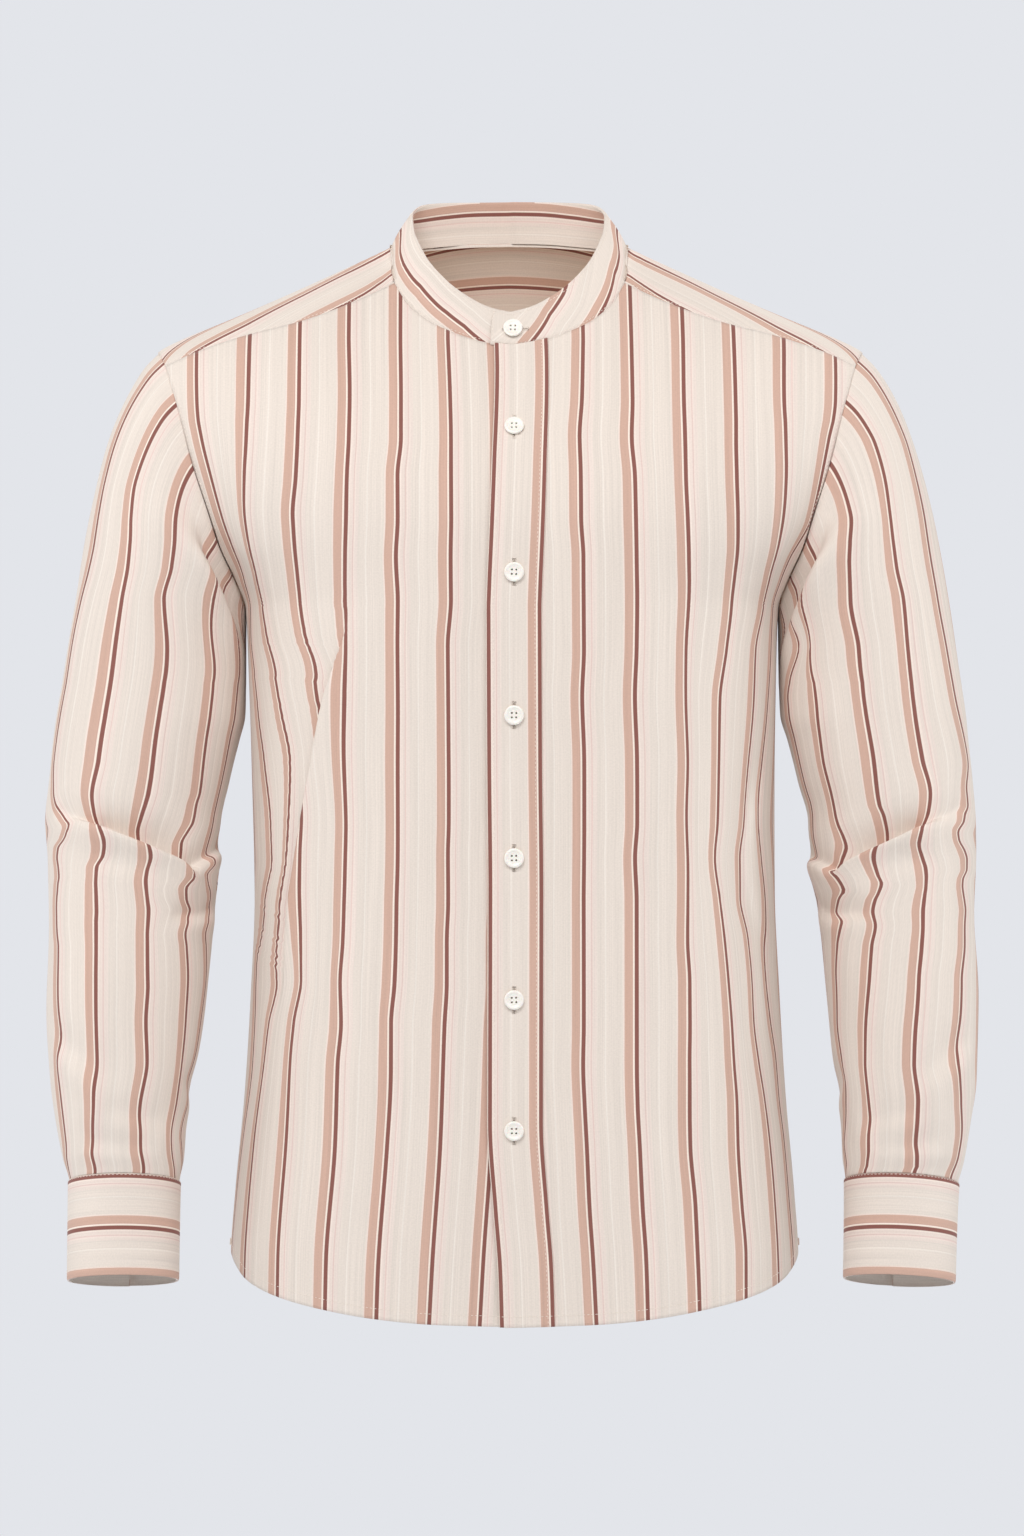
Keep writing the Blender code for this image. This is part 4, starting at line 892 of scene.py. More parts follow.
def front(side):
    """One front, its columns from the middle edge to the side."""
    across = front_across(side)
    column = (across - across[0]) / (across[-1] - across[0])
    top = front_top(across)

    def edge_share(z):
        z = z + 0 * column
        start = lap_edge(z) if side == LEFT else 0 * z - UNDER_EDGE
        start = share_of(FRONT, start, z)
        return start + column * (1 - start)

    points, arc = body_grid(FRONT, edge_share, share_of(FRONT, across, top), top)
    normals = outward(points, False, body_middle)
    places = np.stack([arc, points[..., 2]], axis=-1)
    creases = dict(FRONT_CREASES[side])
    for n in range(3):
        creases[f"a{n}"] = arc_at(FRONT, creases[f"a{n}"], creases[f"b{n}"])[0]
    points, slide = crease(points, places, normals, creases)
    flat = front_flat(side, cloth_arc(arc, slide), places[..., 1])
    off = ripple(places, RIPPLE_SEEDS["front"] + side, *FRONT_RIPPLE)
    calm = np.ones(arc.shape[1])
    calm[-CALM_SIDE:] = np.linspace(1, 0, CALM_SIDE)
    if side == LEFT:
        calm[:CALM_PLACKET] = np.linspace(0, 1, CALM_PLACKET)
    rows = np.arange(points.shape[0])
    calm = calm * ease((rows[-1] - rows) / CALM_TOP)[:, None]
    points = points + normals * (off * calm)[..., None]
    if side == RIGHT:
        points = mirror(points)
        normals = normals * [-1, 1, 1]
        points[..., 1] += lap_depth(points[..., 0])
    sheet = tuck_edges(turn_hem(points, flat, normals), "top", "right")
    dress(f"front_{WORD[side]}_cloth", f"front_{WORD[side]}", sheet)
    return {"points": points, "normals": normals}


def back_seam_height(share):
    return BACK_SEAM_HEIGHT - BACK_SEAM_FALL * np.abs(share) ** BACK_SEAM_BOW


def half_back_shares():
    """Where the yoke's columns meet the back, from the armhole to the middle."""
    corner = np.array([YOKE_SEAM["across"][0]])
    neck = share_of(BACK, corner, np.array([BACK_SEAM_HEIGHT]))[0]
    shoulder = np.linspace(1, neck, SHOULDER_STEPS + 1)
    return np.concatenate([shoulder, np.linspace(neck, 0, BACK_NECK_STEPS + 1)[1:]])


def back():
    """The back, one panel from side seam to side seam."""
    half = half_back_shares()
    share = np.concatenate([-half, half[::-1][1:]])
    points, arc = body_grid(BACK, lambda z: share + 0 * z, share, back_seam_height(share))
    normals = outward(points, False, body_middle)
    places = np.stack([arc, points[..., 2]], axis=-1)
    for side in (RIGHT, LEFT):
        creases = dict(BACK_CREASES[side])
        for n in range(3):
            creases[f"a{n}"] = arc_at(BACK, side * creases[f"a{n}"], creases[f"b{n}"])[0]
        points = crease(points, places, normals, creases)[0]
    columns = np.arange(points.shape[1])
    calm = ease(np.minimum(columns, columns[-1] - columns) / CALM_SIDE)
    rows = np.arange(points.shape[0])
    calm = calm * ease((rows[-1] - rows) / CALM_TOP)[:, None]
    off = ripple(places, RIPPLE_SEEDS["back"], *BACK_RIPPLE)
    points = points + normals * (off * calm)[..., None]
    flat = np.stack([arc + STRIPE_REPEAT / 2 - MAROON, points[..., 2]], axis=-1)
    sheet = tuck_edges(turn_hem(points, flat, normals), "top", "left", "right")
    dress("back_cloth", "back", sheet)
    return {"points": points, "normals": normals}


def yoke_path(start, end, bulge):
    """A line over the shoulder. It starts and ends with (x, z, face)."""
    root = [face * np.sqrt(max(ridge_height(abs(x)) - z, 0)) for x, z, face in (start, end)]
    share = np.linspace(0, 1, YOKE_PATH_STEPS)
    r = root[0] + (root[1] - root[0]) * share
    x = start[0] + (end[0] - start[0]) * share + bulge * (1 - (2 * share - 1) ** 2)
    z = ridge_height(x) - r * r
    y = np.where(r < 0, depth_at(FRONT, x, z), depth_at(BACK, x, z))
    return np.stack([x, y, z], axis=-1)


def yoke_half():
    """The left shoulder's points, from the armhole to the middle of the back."""
    tip = YOKE_SEAM["across"][-1]
    shares = half_back_shares()
    heights = back_seam_height(shares)
    ends = body_points(BACK, shares, heights)[0][:, 0] - lean(heights)
    fine, line = neck_line()
    neck_rows = np.linspace(NECK_CORNER_ROW, 0, BACK_NECK_STEPS + 1)
    shoulder = front_across(LEFT)[FRONT_NECK_STEPS:][::-1]
    columns = []
    for k, (x_end, z_end) in enumerate(zip(ends, heights)):
        end = (x_end, z_end, BACK)
        if k <= SHOULDER_STEPS:
            x = shoulder[k]
            bulge = ARMHOLE["across"][-1] - (tip + ends[0]) / 2
            bulge *= (1 - k / SHOULDER_STEPS) ** SHOULDER_BULGE_POWER
            path = yoke_path((x, front_top(x), FRONT), end, bulge)
        else:
            row = neck_rows[k - SHOULDER_STEPS]
            seam = np.array([np.interp(row, fine, line[:, axis]) for axis in range(3)])
            face = FRONT if row > NECK_RIDGE_ROW else BACK
            path = yoke_path((seam[0], min(seam[2], ridge_height(seam[0])), face), end, 0)
            pull = 1 - ease(np.linspace(0, YOKE_SETTLE, len(path)))
            path += (seam - path[0]) * pull[:, None]
        columns.append(spread(path, np.linspace(0, 1, YOKE_STEPS + 1)))
    return np.stack(columns, axis=1)


# How far up from the back seam the yoke's maroon lines run, and in millimetres how far they stray
# at each distance from the middle.
YOKE_LINE = 0.0906
YOKE_LINES = table(
    "height  first second third fourth",
    (0.000, -5.5, -2, 0, -9),
    (0.082, -5.5, -2, 1, -9),
    (0.092, -4, -1, -0.5, -6),
    (0.104, -2, -1, -1.5, -1),
    (0.118, 0, 0, -1.5, 3),
    (0.150, 0, 0, 0.5, 6),
    (0.180, 0, 0, 1, 10),
    (0.205, 0, 0, -4, 4),
    (0.224, 0, 0, -10, -2),
)


def yoke_flat(up, across):
    """Places in the flat yoke. On the right shoulder the stripes turn back within the cream."""
    plumb = laid(YOKE_LINES, YOKE_LINE, up, np.abs(across))
    u = MAROON + YOKE_LINE + 2 * STRIPE_REPEAT - plumb
    turned = np.maximum(u, 2 * MAROON + STRIPE_REPEAT - u)
    return np.stack([np.where(across < 0, turned, u), across], axis=-1)


def yoke():
    """One piece over both shoulders and the upper back."""
    half = yoke_half()
    half[..., 0] += lean(half[..., 2])
    points = np.concatenate([half, mirror(half[:, ::-1][:, 1:])], axis=1)
    normals = outward(points, False, body_middle)
    down = np.linalg.norm(np.diff(points, axis=0), axis=-1)
    up = np.vstack([np.cumsum(down[::-1], axis=0)[::-1], 0 * down[:1]])
    sheet = tuck_edges((points, yoke_flat(up, points[..., 0]), normals), "bottom")
    sheet[1][: len(SEAM_TUCK), :, 0] = PLAIN_CREAM
    sheet = tuck_edges(sheet, "top", "left", "right")
    dress("yoke_cloth", "yoke", sheet)
    return {"points": points, "normals": normals}


def rim_at(row, sign):
    """The collar's rim over these rows of the neck's table, on the side that the sign gives."""
    rows = np.arange(len(NECK["across"]))
    names = ("rim_across", "rim_y", "rim_height")
    rim = np.stack([through(rows, NECK[name])(row) for name in names], axis=-1)
    return rim * np.stack([sign, sign * sign, sign * sign], axis=-1)


def collar_half(side):
    """The neck seam and the rim above it, from the middle of the back to the front end."""
    fine, line = neck_line()
    row = np.linspace(0, NECK_CORNER_ROW, BACK_NECK_STEPS + 1)
    seam = np.stack([np.interp(row, fine, line[:, k]) for k in range(3)], axis=-1)
    rim = rim_at(row, np.ones(len(row)))
    across = front_across(side)[:FRONT_NECK_STEPS][::-1]
    if side == LEFT:
        last = np.linspace(across[-1], across[-1] - COLLAR_OVERHANG, COLLAR_END_STEPS + 1)[1:]
        across = np.concatenate([across, last])
    height = front_top(across)
    front_seam = np.stack([across, depth_at(FRONT, across, height), height], axis=-1)
    front_rows = slice(NECK_CORNER_ROW, None)
    table_rows = np.arange(len(NECK["across"]))[front_rows]
    front_row = through(NECK["across"][front_rows], table_rows.astype(float))(np.abs(across))
    front_rim = rim_at(front_row, np.where(across < 0, -1.0, 1.0))
    front_rim[..., 0] = np.where(across < 0, across * COLLAR_END_LEAN, front_rim[..., 0])
    seam, rim = np.concatenate([seam, front_seam]), np.concatenate([rim, front_rim])
    seam[..., 0] += lean(seam[..., 2])
    rim[..., 0] += lean(rim[..., 2])
    return seam, rim


def collar_band():
    """The band stands on the neck seam. Its left end laps over the right one."""
    left_seam, left_rim = collar_half(LEFT)
    right_seam, right_rim = (mirror(points) for points in collar_half(RIGHT))
    for points in (right_seam, right_rim):
        points[..., 1] += lap_depth(points[..., 0])
    seam = np.concatenate([right_seam[::-1], left_seam[1:]])
    rim = np.concatenate([right_rim[::-1], left_rim[1:]])
    middle = len(right_seam) - 1
    along = lengths(seam)
    from_back = along - along[middle]
    to_end = along[-1] - along
    inside = np.clip(COLLAR_CORNER - to_end, 0, COLLAR_CORNER)
    drop = COLLAR_CORNER - np.sqrt(COLLAR_CORNER**2 - inside**2)
    rim = rim + unit(seam - rim) * drop[:, None]
    up = np.linspace(0, 1, COLLAR_STEPS + 1)[:, None, None]
    outer = seam * (1 - up) + rim * up
    normals = outward(outer, False, neck_middle)
    belly = COLLAR_BELLY * np.sin(np.pi * up[..., 0])
    outer = outer + normals * belly[..., None]
    inner = (outer - normals * COLLAR_THICKNESS)[::-1]
    top = unit(rim - seam)
    rise, narrowing = COLLAR_ROUND
    ridge = [
        outer[-1] + (top - normals[-1] * narrowing) * COLLAR_THICKNESS * rise,
        inner[0] + (top + normals[-1] * narrowing) * COLLAR_THICKNESS * rise,
    ]
    points = np.concatenate([outer, np.array(ridge), inner])
    tall = np.linalg.norm(rim - seam, axis=-1) * up[..., 0]
    flat = np.stack([collar_stripes(from_back + 0 * tall, tall), from_back + 0 * tall], axis=-1)
    flat_in = np.stack([COLLAR_HEIGHT - tall, from_back + 0 * tall], axis=-1)[::-1]
    flat = np.concatenate([flat, flat[-1:], flat_in[:1], flat_in])
    outs = np.concatenate([normals, top[None], top[None], -normals[::-1]])
    depth, drop = COLLAR_UNDER
    under = outer[0] - normals[0] * depth - top * drop
    sheet = add_rows(points, [under]), add_rows(flat, [flat[0]]), add_rows(outs, [outs[0]])
    dress("collar_cloth", "collar_band", sheet)
    return {"points": outer, "normals": normals}


# The collar's maroon lines: distance along the neck from the middle of the back, and height on
# the band, in millimetres. Rose lies below the right line and on the front side of the others.
COLLAR_RIGHT_LINE = np.array(
    [(0, 15.5), (-114, 15.5), (-145, 15), (-169, 16), (-197, 11.5), (-214, 7), (-229, 0), (-245, -9)]
)
COLLAR_LEFT_LINE = np.array(
    [(0, 16), (100, 16), (116, 15.5), (130, 13.5), (149, 11.5), (166, 5), (178, 0.5), (190, -5)]
)
COLLAR_FRONT_LINE = np.array([(178, 42), (196.5, 27.5), (216.5, 16.5), (234, 0.5), (243, -9)])
COLLAR_CREAM = 0.0245  # plain cream goes on from this far above the right line
COLLAR_LEFT_CREAM = -0.0043  # and from this place in the repeat above the left one
COLLAR_FRONT_GAP = 0.0223  # the front line's stripes start this far past it
COLLAR_BACK = (0.03, 0.07)  # the sides' stripes fade in from this far round, over this length
COLLAR_BACK_MEET = 0.04  # length over which one side's cream turns into the other's
COLLAR_BACK_CREAMS = (0.0125, 0.0335)  # their places in the repeat at the neck seam
COLLAR_BACK_SLANT = 0.75


def beside(places, line):
    """Distance from a line in the flat, more than nothing on the right of its way."""
    fine = spread(line / 1000, np.linspace(0, 1, COLLAR_LINE_STEPS))
    way = unit(np.gradient(fine, axis=0))
    nearest = np.argmin(((places[..., None, :] - fine) ** 2).sum(-1), axis=-1)
    right = np.stack([way[:, 1], -way[:, 0]], axis=-1)[nearest]
    return ((places - fine[nearest]) * right).sum(-1)


def collar_stripes(along, tall):
    """Distance across the stripes on the outer band. They fade to plain cream at the back."""
    places = np.stack([along, tall], axis=-1)
    right = MAROON + np.minimum(beside(places, COLLAR_RIGHT_LINE), COLLAR_CREAM)
    left = np.maximum(MAROON + beside(places, COLLAR_LEFT_LINE), COLLAR_LEFT_CREAM)
    front = np.maximum(beside(places, COLLAR_FRONT_LINE), -COLLAR_CREAM)
    left = left + np.minimum(front - COLLAR_FRONT_GAP, 0)
    blend = ease((along + COLLAR_BACK_MEET / 2) / COLLAR_BACK_MEET)
    low, high = COLLAR_BACK_CREAMS
    slant = COLLAR_BACK_SLANT * tall
    middle = (low + slant) * (1 - blend) + (high - slant) * blend
    sides = np.where(along < 0, right, left)
    start, length = COLLAR_BACK
    reach = ease((np.abs(along) - start) / length)
    return middle * (1 - reach) + sides * reach


# How far the placket's face stands off the front at each distance from its edge, in millimetres.
PLACKET_SECTION = table(
    "across lift",
    (0.0, 0.70),
    (0.8, 1.10),
    (2.0, 1.30),
    (5.0, 1.35),
    (9.0, 1.40),
    (14.0, 1.40),
    (19.0, 1.40),
    (24.0, 1.40),
    (29.0, 1.40),
    (33.0, 1.35),
    (36.2, 1.30),
    (37.6, 1.10),
    (38.5, 0.70),
)
PLACKET_TUCK = (0.0001, 0.0012)  # its edges turn under, this far off the front and this far in


def placket(edges):
    """The strip along the left front's edge, from the front's own points."""
    points, normals = edges["points"], edges["normals"]
    across, lift = PLACKET_SECTION["across"] / 1000, PLACKET_SECTION["lift"] / 1000
    spots = np.empty((len(points), len(across), 3))
    outs = np.empty_like(spots)
    for r in range(len(points)):
        along = lengths(points[r])
        for k in range(3):
            spots[r, :, k] = np.interp(across, along, points[r, :, k])
            outs[r, :, k] = np.interp(across, along, normals[r, :, k])
    outs = unit(outs)
    grid = spots + outs * lift[:, None]
    face = {"points": grid, "normals": outs}
    rise, turned_in = PLACKET_TUCK
    first = spots[:, :1] + outs[:, :1] * rise + unit(spots[:, 1:2] - spots[:, :1]) * turned_in
    last = spots[:, -1:] + outs[:, -1:] * rise - unit(spots[:, -1:] - spots[:, -2:-1]) * turned_in
    grid = np.concatenate([first, grid, last], axis=1)
    outs = np.concatenate([outs[:, :1], outs, outs[:, -1:]], axis=1)
    across = np.concatenate([[0], across, [PLACKET_WIDTH]])
    flat = np.stack([across + 0 * grid[..., 0] + PLACKET_STRIPE, grid[..., 2]], axis=-1)
    dress("placket_cloth", "placket", turn_hem(grid, flat, outs))
    return face


# ------------------------------------------------------------------ sleeves and cuffs


def armhole_loop(side):
    """The armhole from the shoulder tip over the front and under the arm."""
    tip = yoke_half()[:, 0]

    def edge(face, top):
        z = np.linspace(top, ARMPIT_HEIGHT, ARMHOLE_STEPS + 1)
        x = armhole_across(z)
        return np.stack([x, depth_at(face, x, z), z], axis=-1)

    front_edge = edge(FRONT, YOKE_SEAM["height"][-1])
    back_edge = edge(BACK, back_seam_height(1.0))
    top = int(np.argmax(tip[:, 2]))
    loop = [tip[top::-1], front_edge[1:], back_edge[::-1][1:], tip[:top:-1][1:], tip[top : top + 1]]
    loop = spread(np.concatenate(loop), np.linspace(0, 1, SLEEVE_SIDES + 1)[:-1])
    loop[..., 0] += lean(loop[..., 2])
    return mirror(loop) if side == RIGHT else loop


def sleeve_ring(side, height, angle):
    """One section of the arm. The angle is 0 outside, 90 at the front, 180 inside."""
    sizes = SLEEVES[side]
    outer, inner, middle, depth, tip, drop = (
        through(sizes["height"], sizes[name])(height)
        for name in SLEEVE_COLUMNS.split()[1:]
    )
    turn = np.radians(angle)
    outwards = (outer - inner) / 2 * np.cos(turn)
    x = side * ((outer + inner) / 2 + outwards)
    y = middle - depth * np.sin(turn)
    z = height + tip * depth * np.sin(turn) - drop * outwards
    return np.stack([x, y, z], axis=-1)


def sleeve_grid(side):
    """Rows from the armhole to the cuff. The head's rows blend from the armhole loop."""
    angle = SLEEVE_SEAM + np.arange(SLEEVE_SIDES) * 360 / SLEEVE_SIDES
    first = np.roll(armhole_loop(side), -round(SLEEVE_SEAM / 360 * SLEEVE_SIDES), axis=0)
    turn = np.radians(angle)
    last = sleeve_ring(side, SLEEVE_START_HEIGHT, angle)

    def amount(pair):
        return pair[0] + pair[1] * np.cos(turn)

    leave = [side * amount(LEAVE_OUT), -LEAVE_ROUND * np.sin(turn), amount(LEAVE_UP)]
    second = first + unit(np.stack(leave, axis=-1)) * amount(LEAVE_REACH)[:, None]
    arrive = np.stack([side * amount(ARRIVE_LEAN), 0 * turn, 1 + 0 * turn], axis=-1)
    third = last + arrive * amount(ARRIVE_REACH)[:, None]
    rows = []
    for t in np.linspace(0, 1, HEAD_ROWS + 1)[:-1]:
        near = (1 - t) ** 3 * first + 3 * (1 - t) ** 2 * t * second
        rows.append(near + 3 * (1 - t) * t * t * third + t**3 * last)
    for height in np.linspace(SLEEVE_START_HEIGHT, CUFF_TOP_HEIGHT, ARM_ROWS):
        rows.append(sleeve_ring(side, height, angle))
    return np.array(rows), angle


SLEEVE_LINE = 0.0280  # first maroon line's distance from the outer side

# How far each maroon line of a sleeve stands past its plumb place, in millimetres.
SLEEVE_LINES = {
    RIGHT: table(
        "height  first second third fourth fifth",
        (-0.640, -17, -22, -22, -25, -40),
        (-0.617, -5, -13.5, -12.5, -19.5, -39),
        (-0.590, -0.5, -3, -4.5, -5, -19),
        (-0.562, 2.5, 4.5, 6, 4, -10),
        (-0.534, 9, 8.5, 9, 10, -1.5),
        (-0.507, 8.5, 10.5, 12.5, 12, 5.5),
        (-0.483, 7.5, 11, 12.5, 9.5, 1),
        (-0.474, 5, 11, 12.5, 7, -3),
        (-0.466, 4, 11, 13, 11, 3),
        (-0.457, 4, 11.5, 13.5, 16.5, 16),
        (-0.450, 5, 11.5, 13, 9, 14),
        (-0.445, 6.5, 11.5, 12.5, 7, 8),
        (-0.4395, 8, 11.5, 12, 13, 0),
        (-0.4345, 10, 12, 13, 12.5, -4),
        (-0.428, 9.5, 13, 15.5, 11.5, 6.5),
        (-0.422, 8, 18.5, 14.5, 10.5, 6.5),
        (-0.415, 10.5, 21.5, 13.5, 10, 5),
        (-0.408, 22.5, 20, 12.5, 10, 6),
        (-0.402, 28, 18, 11.5, 15, 8),
        (-0.397, 23, 16.5, 11, 19.5, 10),
        (-0.391, 16, 14.5, 13.5, 21.5, 12),
        (-0.384, 9, 12.5, 16, 22.5, 14),
        (-0.376, 2.5, 11, 17.5, 24.5, 15),
        (-0.353, -6, 14.5, 18.5, 24, 17),
        (-0.312, -4.5, 15.5, 19, 23.5, 17),
        (-0.277, -3, 15, 17.5, 21, 18),
        (-0.243, 2, 16.5, 15, 26, 25),
        (-0.220, 8, 18.5, 22, 35, 40),
        (-0.204, 10, 17.5, 23.5, 40, 45),
        (-0.184, 8.5, 13.5, 21.5, 43, 46),
        (-0.160, 5.5, 9, 20.5, 38, 43),
        (-0.132, 4, 8.5, 20, 34, 40),
        (-0.103, 4, 8, 18, 30, 36),
    ),
    LEFT: table(
        "height  first second third fourth fifth",
        (-0.634, -5.5, -8, -6, -13.5, -20),
        (-0.617, -4.5, 1, 1, -0.5, -8),
        (-0.589, 6.5, 8, 10.5, 0.5, -2),
        (-0.562, 16.5, 16.5, 18.5, 9, 5),
        (-0.534, 16.5, 18.5, 20.5, 18, 14),
        (-0.506, 16, 18.5, 19, 18.5, 15),
        (-0.482, 10.5, 16.5, 17, 14, 16),
        (-0.468, 9.5, 15.5, 14, 7, 22),
        (-0.458, 8, 15.5, 16, 19.5, 26),
        (-0.451, 10, 15, 14.5, 12.5, 25),
        (-0.446, 12, 14.5, 12, 3.5, 24),
        (-0.4405, 13.5, 14, 10, 7, 24),
        (-0.4365, 13, 14, 12.5, 12, 24),
        (-0.429, 7, 15, 15, 19, 24),
        (-0.423, 7, 18, 14, 19, 20),
        (-0.417, 10.5, 22, 12.5, 13.5, 14),
        (-0.409, 19.5, 21, 11, 8, 12),
        (-0.405, 21, 19.5, 10, 9, 12),
        (-0.398, 13.5, 17, 9, 12.5, 12),
        (-0.391, 9, 14.5, 10.5, 15, 12),
        (-0.3845, 4, 12, 13.5, 16, 12),
        (-0.375, 4, 10.5, 14.5, 17, 14),
        (-0.353, -6.5, 15, 15, 20, 16),
        (-0.312, 6, 17.5, 17.5, 19, 17),
        (-0.277, 9.5, 16, 16, 22, -1),
        (-0.243, 12.5, 14.5, 22.5, 36, 30),
        (-0.220, 12.5, 17, 23.5, 38, 40),
        (-0.204, 11.5, 16.5, 21.5, 38.5, 44),
        (-0.184, 8.5, 14.5, 17, 38, 43),
        (-0.160, 5.5, 10, 17, 36, 42),
        (-0.132, 0.5, 5.5, 16, 34, 40),
    ),
}


def sleeve(side):
    """One sleeve, its stripes laid by the distance round the creased cloth."""
    points, angle = sleeve_grid(side)
    normals = outward(points, True, arm_middle)
    loop = np.concatenate([points, points[:, :1]], axis=1)
    pieces = np.linalg.norm(np.diff(loop, axis=1), axis=-1)
    around = np.concatenate([0 * pieces[:, :1], np.cumsum(pieces, axis=1)], axis=1)
    down = np.linalg.norm(np.diff(points, axis=0), axis=-1)
    along = -np.vstack([0 * down[:1], np.cumsum(down, axis=0)])
    along = np.concatenate([along, along[:, :1]], axis=1)
    places = np.stack([angle + 0 * points[..., 2], points[..., 2]], axis=-1)
    scale = (DEGREE_WIDTH, 1.0)
    folded, slide = crease(points, places, normals, SLEEVE_CREASES[side], scale, 360.0)
    rows = np.arange(len(points))
    calm = (ease(rows / CALM_AT_HEAD) * ease((rows[-1] - rows) / CALM_AT_WRIST))[:, None]
    slide = np.concatenate([slide, slide[:, :1]], axis=1) * calm
    around = cloth_arc(around, slide)
    outer_line = int(np.argmin(np.abs(angle - 360)))
    around = around - around[:, outer_line : outer_line + 1]
    across = laid(SLEEVE_LINES[side], SLEEVE_LINE, around, loop[..., 2]) - SLEEVE_LINE
    flat = np.stack([MAROON - side * across, along], axis=-1)
    off = ripple(places * scale, RIPPLE_SEEDS["sleeve"] + side, *SLEEVE_RIPPLE) * calm
    points = points + (folded - points) * calm[..., None] + normals * off[..., None]
    sink = HEAD_SINK * (1 - ease(rows / HEAD_SINK_ROWS))
    points = points - normals * sink[:, None, None]
    sheet = tuck_head(points, flat, normals)
    dress(f"sleeve_{WORD[side]}_cloth", f"sleeve_{WORD[side]}", sheet, True)
    return {"points": points, "normals": normals}


def tuck_head(points, flat, normals):
    """The sleeve's head goes under the body at the armhole."""
    depth, reach = HEAD_UNDER
    under = points[0] - normals[0] * depth + unit(points[0] - points[1]) * reach
    return add_rows(points, [under]), add_rows(flat, [flat[0]]), add_rows(normals, [normals[0]])


def cuff(side):
    """A band round the wrist, its outer end lapped over the inner one."""
    turn = np.linspace(0, 360 + CUFF_LAP, CUFF_COLUMNS)
    angle = CUFF_OPENING - CUFF_LAP / 2 + turn
    under = 1 - ease((turn - CUFF_UNDER[0]) / CUFF_UNDER[1])
    over = ease((turn - CUFF_OVER[0]) / CUFF_OVER[1])
    stand = CUFF_STAND + CUFF_LAP_DEPTH * (over - CUFF_SINK * under)
    margin, round_in = CUFF_EDGE
    near = CUFF_EDGE_ROW * margin
    downs = np.concatenate([[0, near], np.linspace(margin, 1 - margin, CUFF_ROWS), [1 - near, 1]])
    rows = []
    for down in downs:
        height = CUFF_TOP_HEIGHT - CUFF_SEAM - CUFF_LENGTH * down
        ring = sleeve_ring(side, height, angle)
        out = unit((ring - sleeve_ring(side, height, angle + 180)) * [1, 1, 0])
        edge = round_in * (1 - ease(min(down, 1 - down) / margin))
        rows.append(ring + out * (stand - edge)[:, None])
    points = np.array(rows)
    middle = points[:, :CUFF_ROUND].mean(axis=1, keepdims=True)
    normals = unit((points - middle) * [1, 1, 0])
    down = downs[:, None] * CUFF_LENGTH + 0 * points[..., 0]
    along = lengths(points[5])[None] + 0 * down
    flat = np.stack([down - CUFF_STRIPE[side] + MAROON, along], axis=-1)
    flat_in = np.stack([CUFF_INSIDE - CUFF_LENGTH + down, along], axis=-1)[::-1]
    inner = (points - normals * CUFF_THICKNESS)[::-1]
    both = ((points, inner), (flat, flat_in), (normals, -normals[::-1]))
    sheet = [np.concatenate(faces) for faces in both]
    dress(f"cuff_{WORD[side]}_cloth", f"cuff_{WORD[side]}", sheet)
    return {"points": points, "normals": normals}


# How far the strip's face stands off the sleeve, in millimetres, at each share of its half width.
STRIP_SECTION = table(
    "share lift",
    (-1.00, 0.12),
    (-0.99, 0.72),
    (-0.94, 1.08),
    (-0.70, 1.20),
    (-0.35, 1.20),
    (0.00, 1.20),
    (0.35, 1.20),
    (0.70, 1.20),
    (0.94, 1.08),
    (0.99, 0.72),
    (1.00, 0.12),
)
STRIP_BLUNT = 0.02  # the point's narrowest, as a share of the strip's width


def sleeve_strip(side, edges):
    """The strip over the slit at the back of the wrist, pointed at its top."""
    points, normals = edges["points"][::-1], edges["normals"][::-1]
    middle = int(round((CUFF_OPENING - SLEEVE_SEAM) % 360 / 360 * SLEEVE_SIDES))
    around = slice(middle - STRIP_REACH, middle + STRIP_REACH + 1)
    up = lengths(points[:, middle])
    shoulder = STRIP_LENGTH - STRIP_WIDTH / 2
    straight = np.linspace(CLOTH, shoulder - STRIP_TIP[0], STRIP_ROWS)
    wanted = np.concatenate([straight, np.linspace(shoulder, STRIP_LENGTH, STRIP_POINT_ROWS)])
    share, lift = STRIP_SECTION["share"], STRIP_SECTION["lift"] / 1000
    grid, outs = [], []
    for height in wanted:
        row = np.interp(height, up, np.arange(len(up)))
        low, near = int(row), row - int(row)
        line = points[low, around] * (1 - near) + points[low + 1, around] * near
        out = unit(normals[low, around] * (1 - near) + normals[low + 1, around] * near)
        along = lengths(line)
        left = STRIP_LENGTH - height
        half = STRIP_WIDTH / 2 * np.clip(left / (STRIP_WIDTH / 2), STRIP_BLUNT, 1)
        across = along[STRIP_REACH] + share * half
        spots = np.stack([np.interp(across, along, line[:, k]) for k in range(3)], axis=-1)
        out = unit(np.stack([np.interp(across, along, out[:, k]) for k in range(3)], axis=-1))
        tip = ease(left / STRIP_TIP[0] + STRIP_TIP[1])
        grid.append(spots + out * (lift * tip + STRIP_CLEAR)[:, None])
        outs.append(out)
    grid, outs = np.array(grid), np.array(outs)
    u = share * STRIP_WIDTH / 2 + STRIP_STRIPE + 0 * grid[..., 0]
    flat = np.stack([u, wanted[:, None] + 0 * u], axis=-1)
    node_name = f"sleeve_placket_{WORD[side]}"
    dress(f"{node_name}_cloth", node_name, (grid, flat, outs))
    return {"points": grid, "normals": outs}


# ------------------------------------------------------------------ shader nodes


class Socket:
    """An output of a shader node. Arithmetic on it adds Math nodes."""

    def __init__(self, tree, output):
        self.tree = tree
        self.output = output

    def math(self, operation, *others):
        values = dict(enumerate((self, *others)))
        return node(self.tree, "ShaderNodeMath", {"operation": operation}, values)

    def __add__(self, other):
        return self.math("ADD", other)

    __radd__ = __add__

    def __mul__(self, other):
        return self.math("MULTIPLY", other)

    __rmul__ = __mul__

    def __truediv__(self, other):
        return self.math("DIVIDE", other)


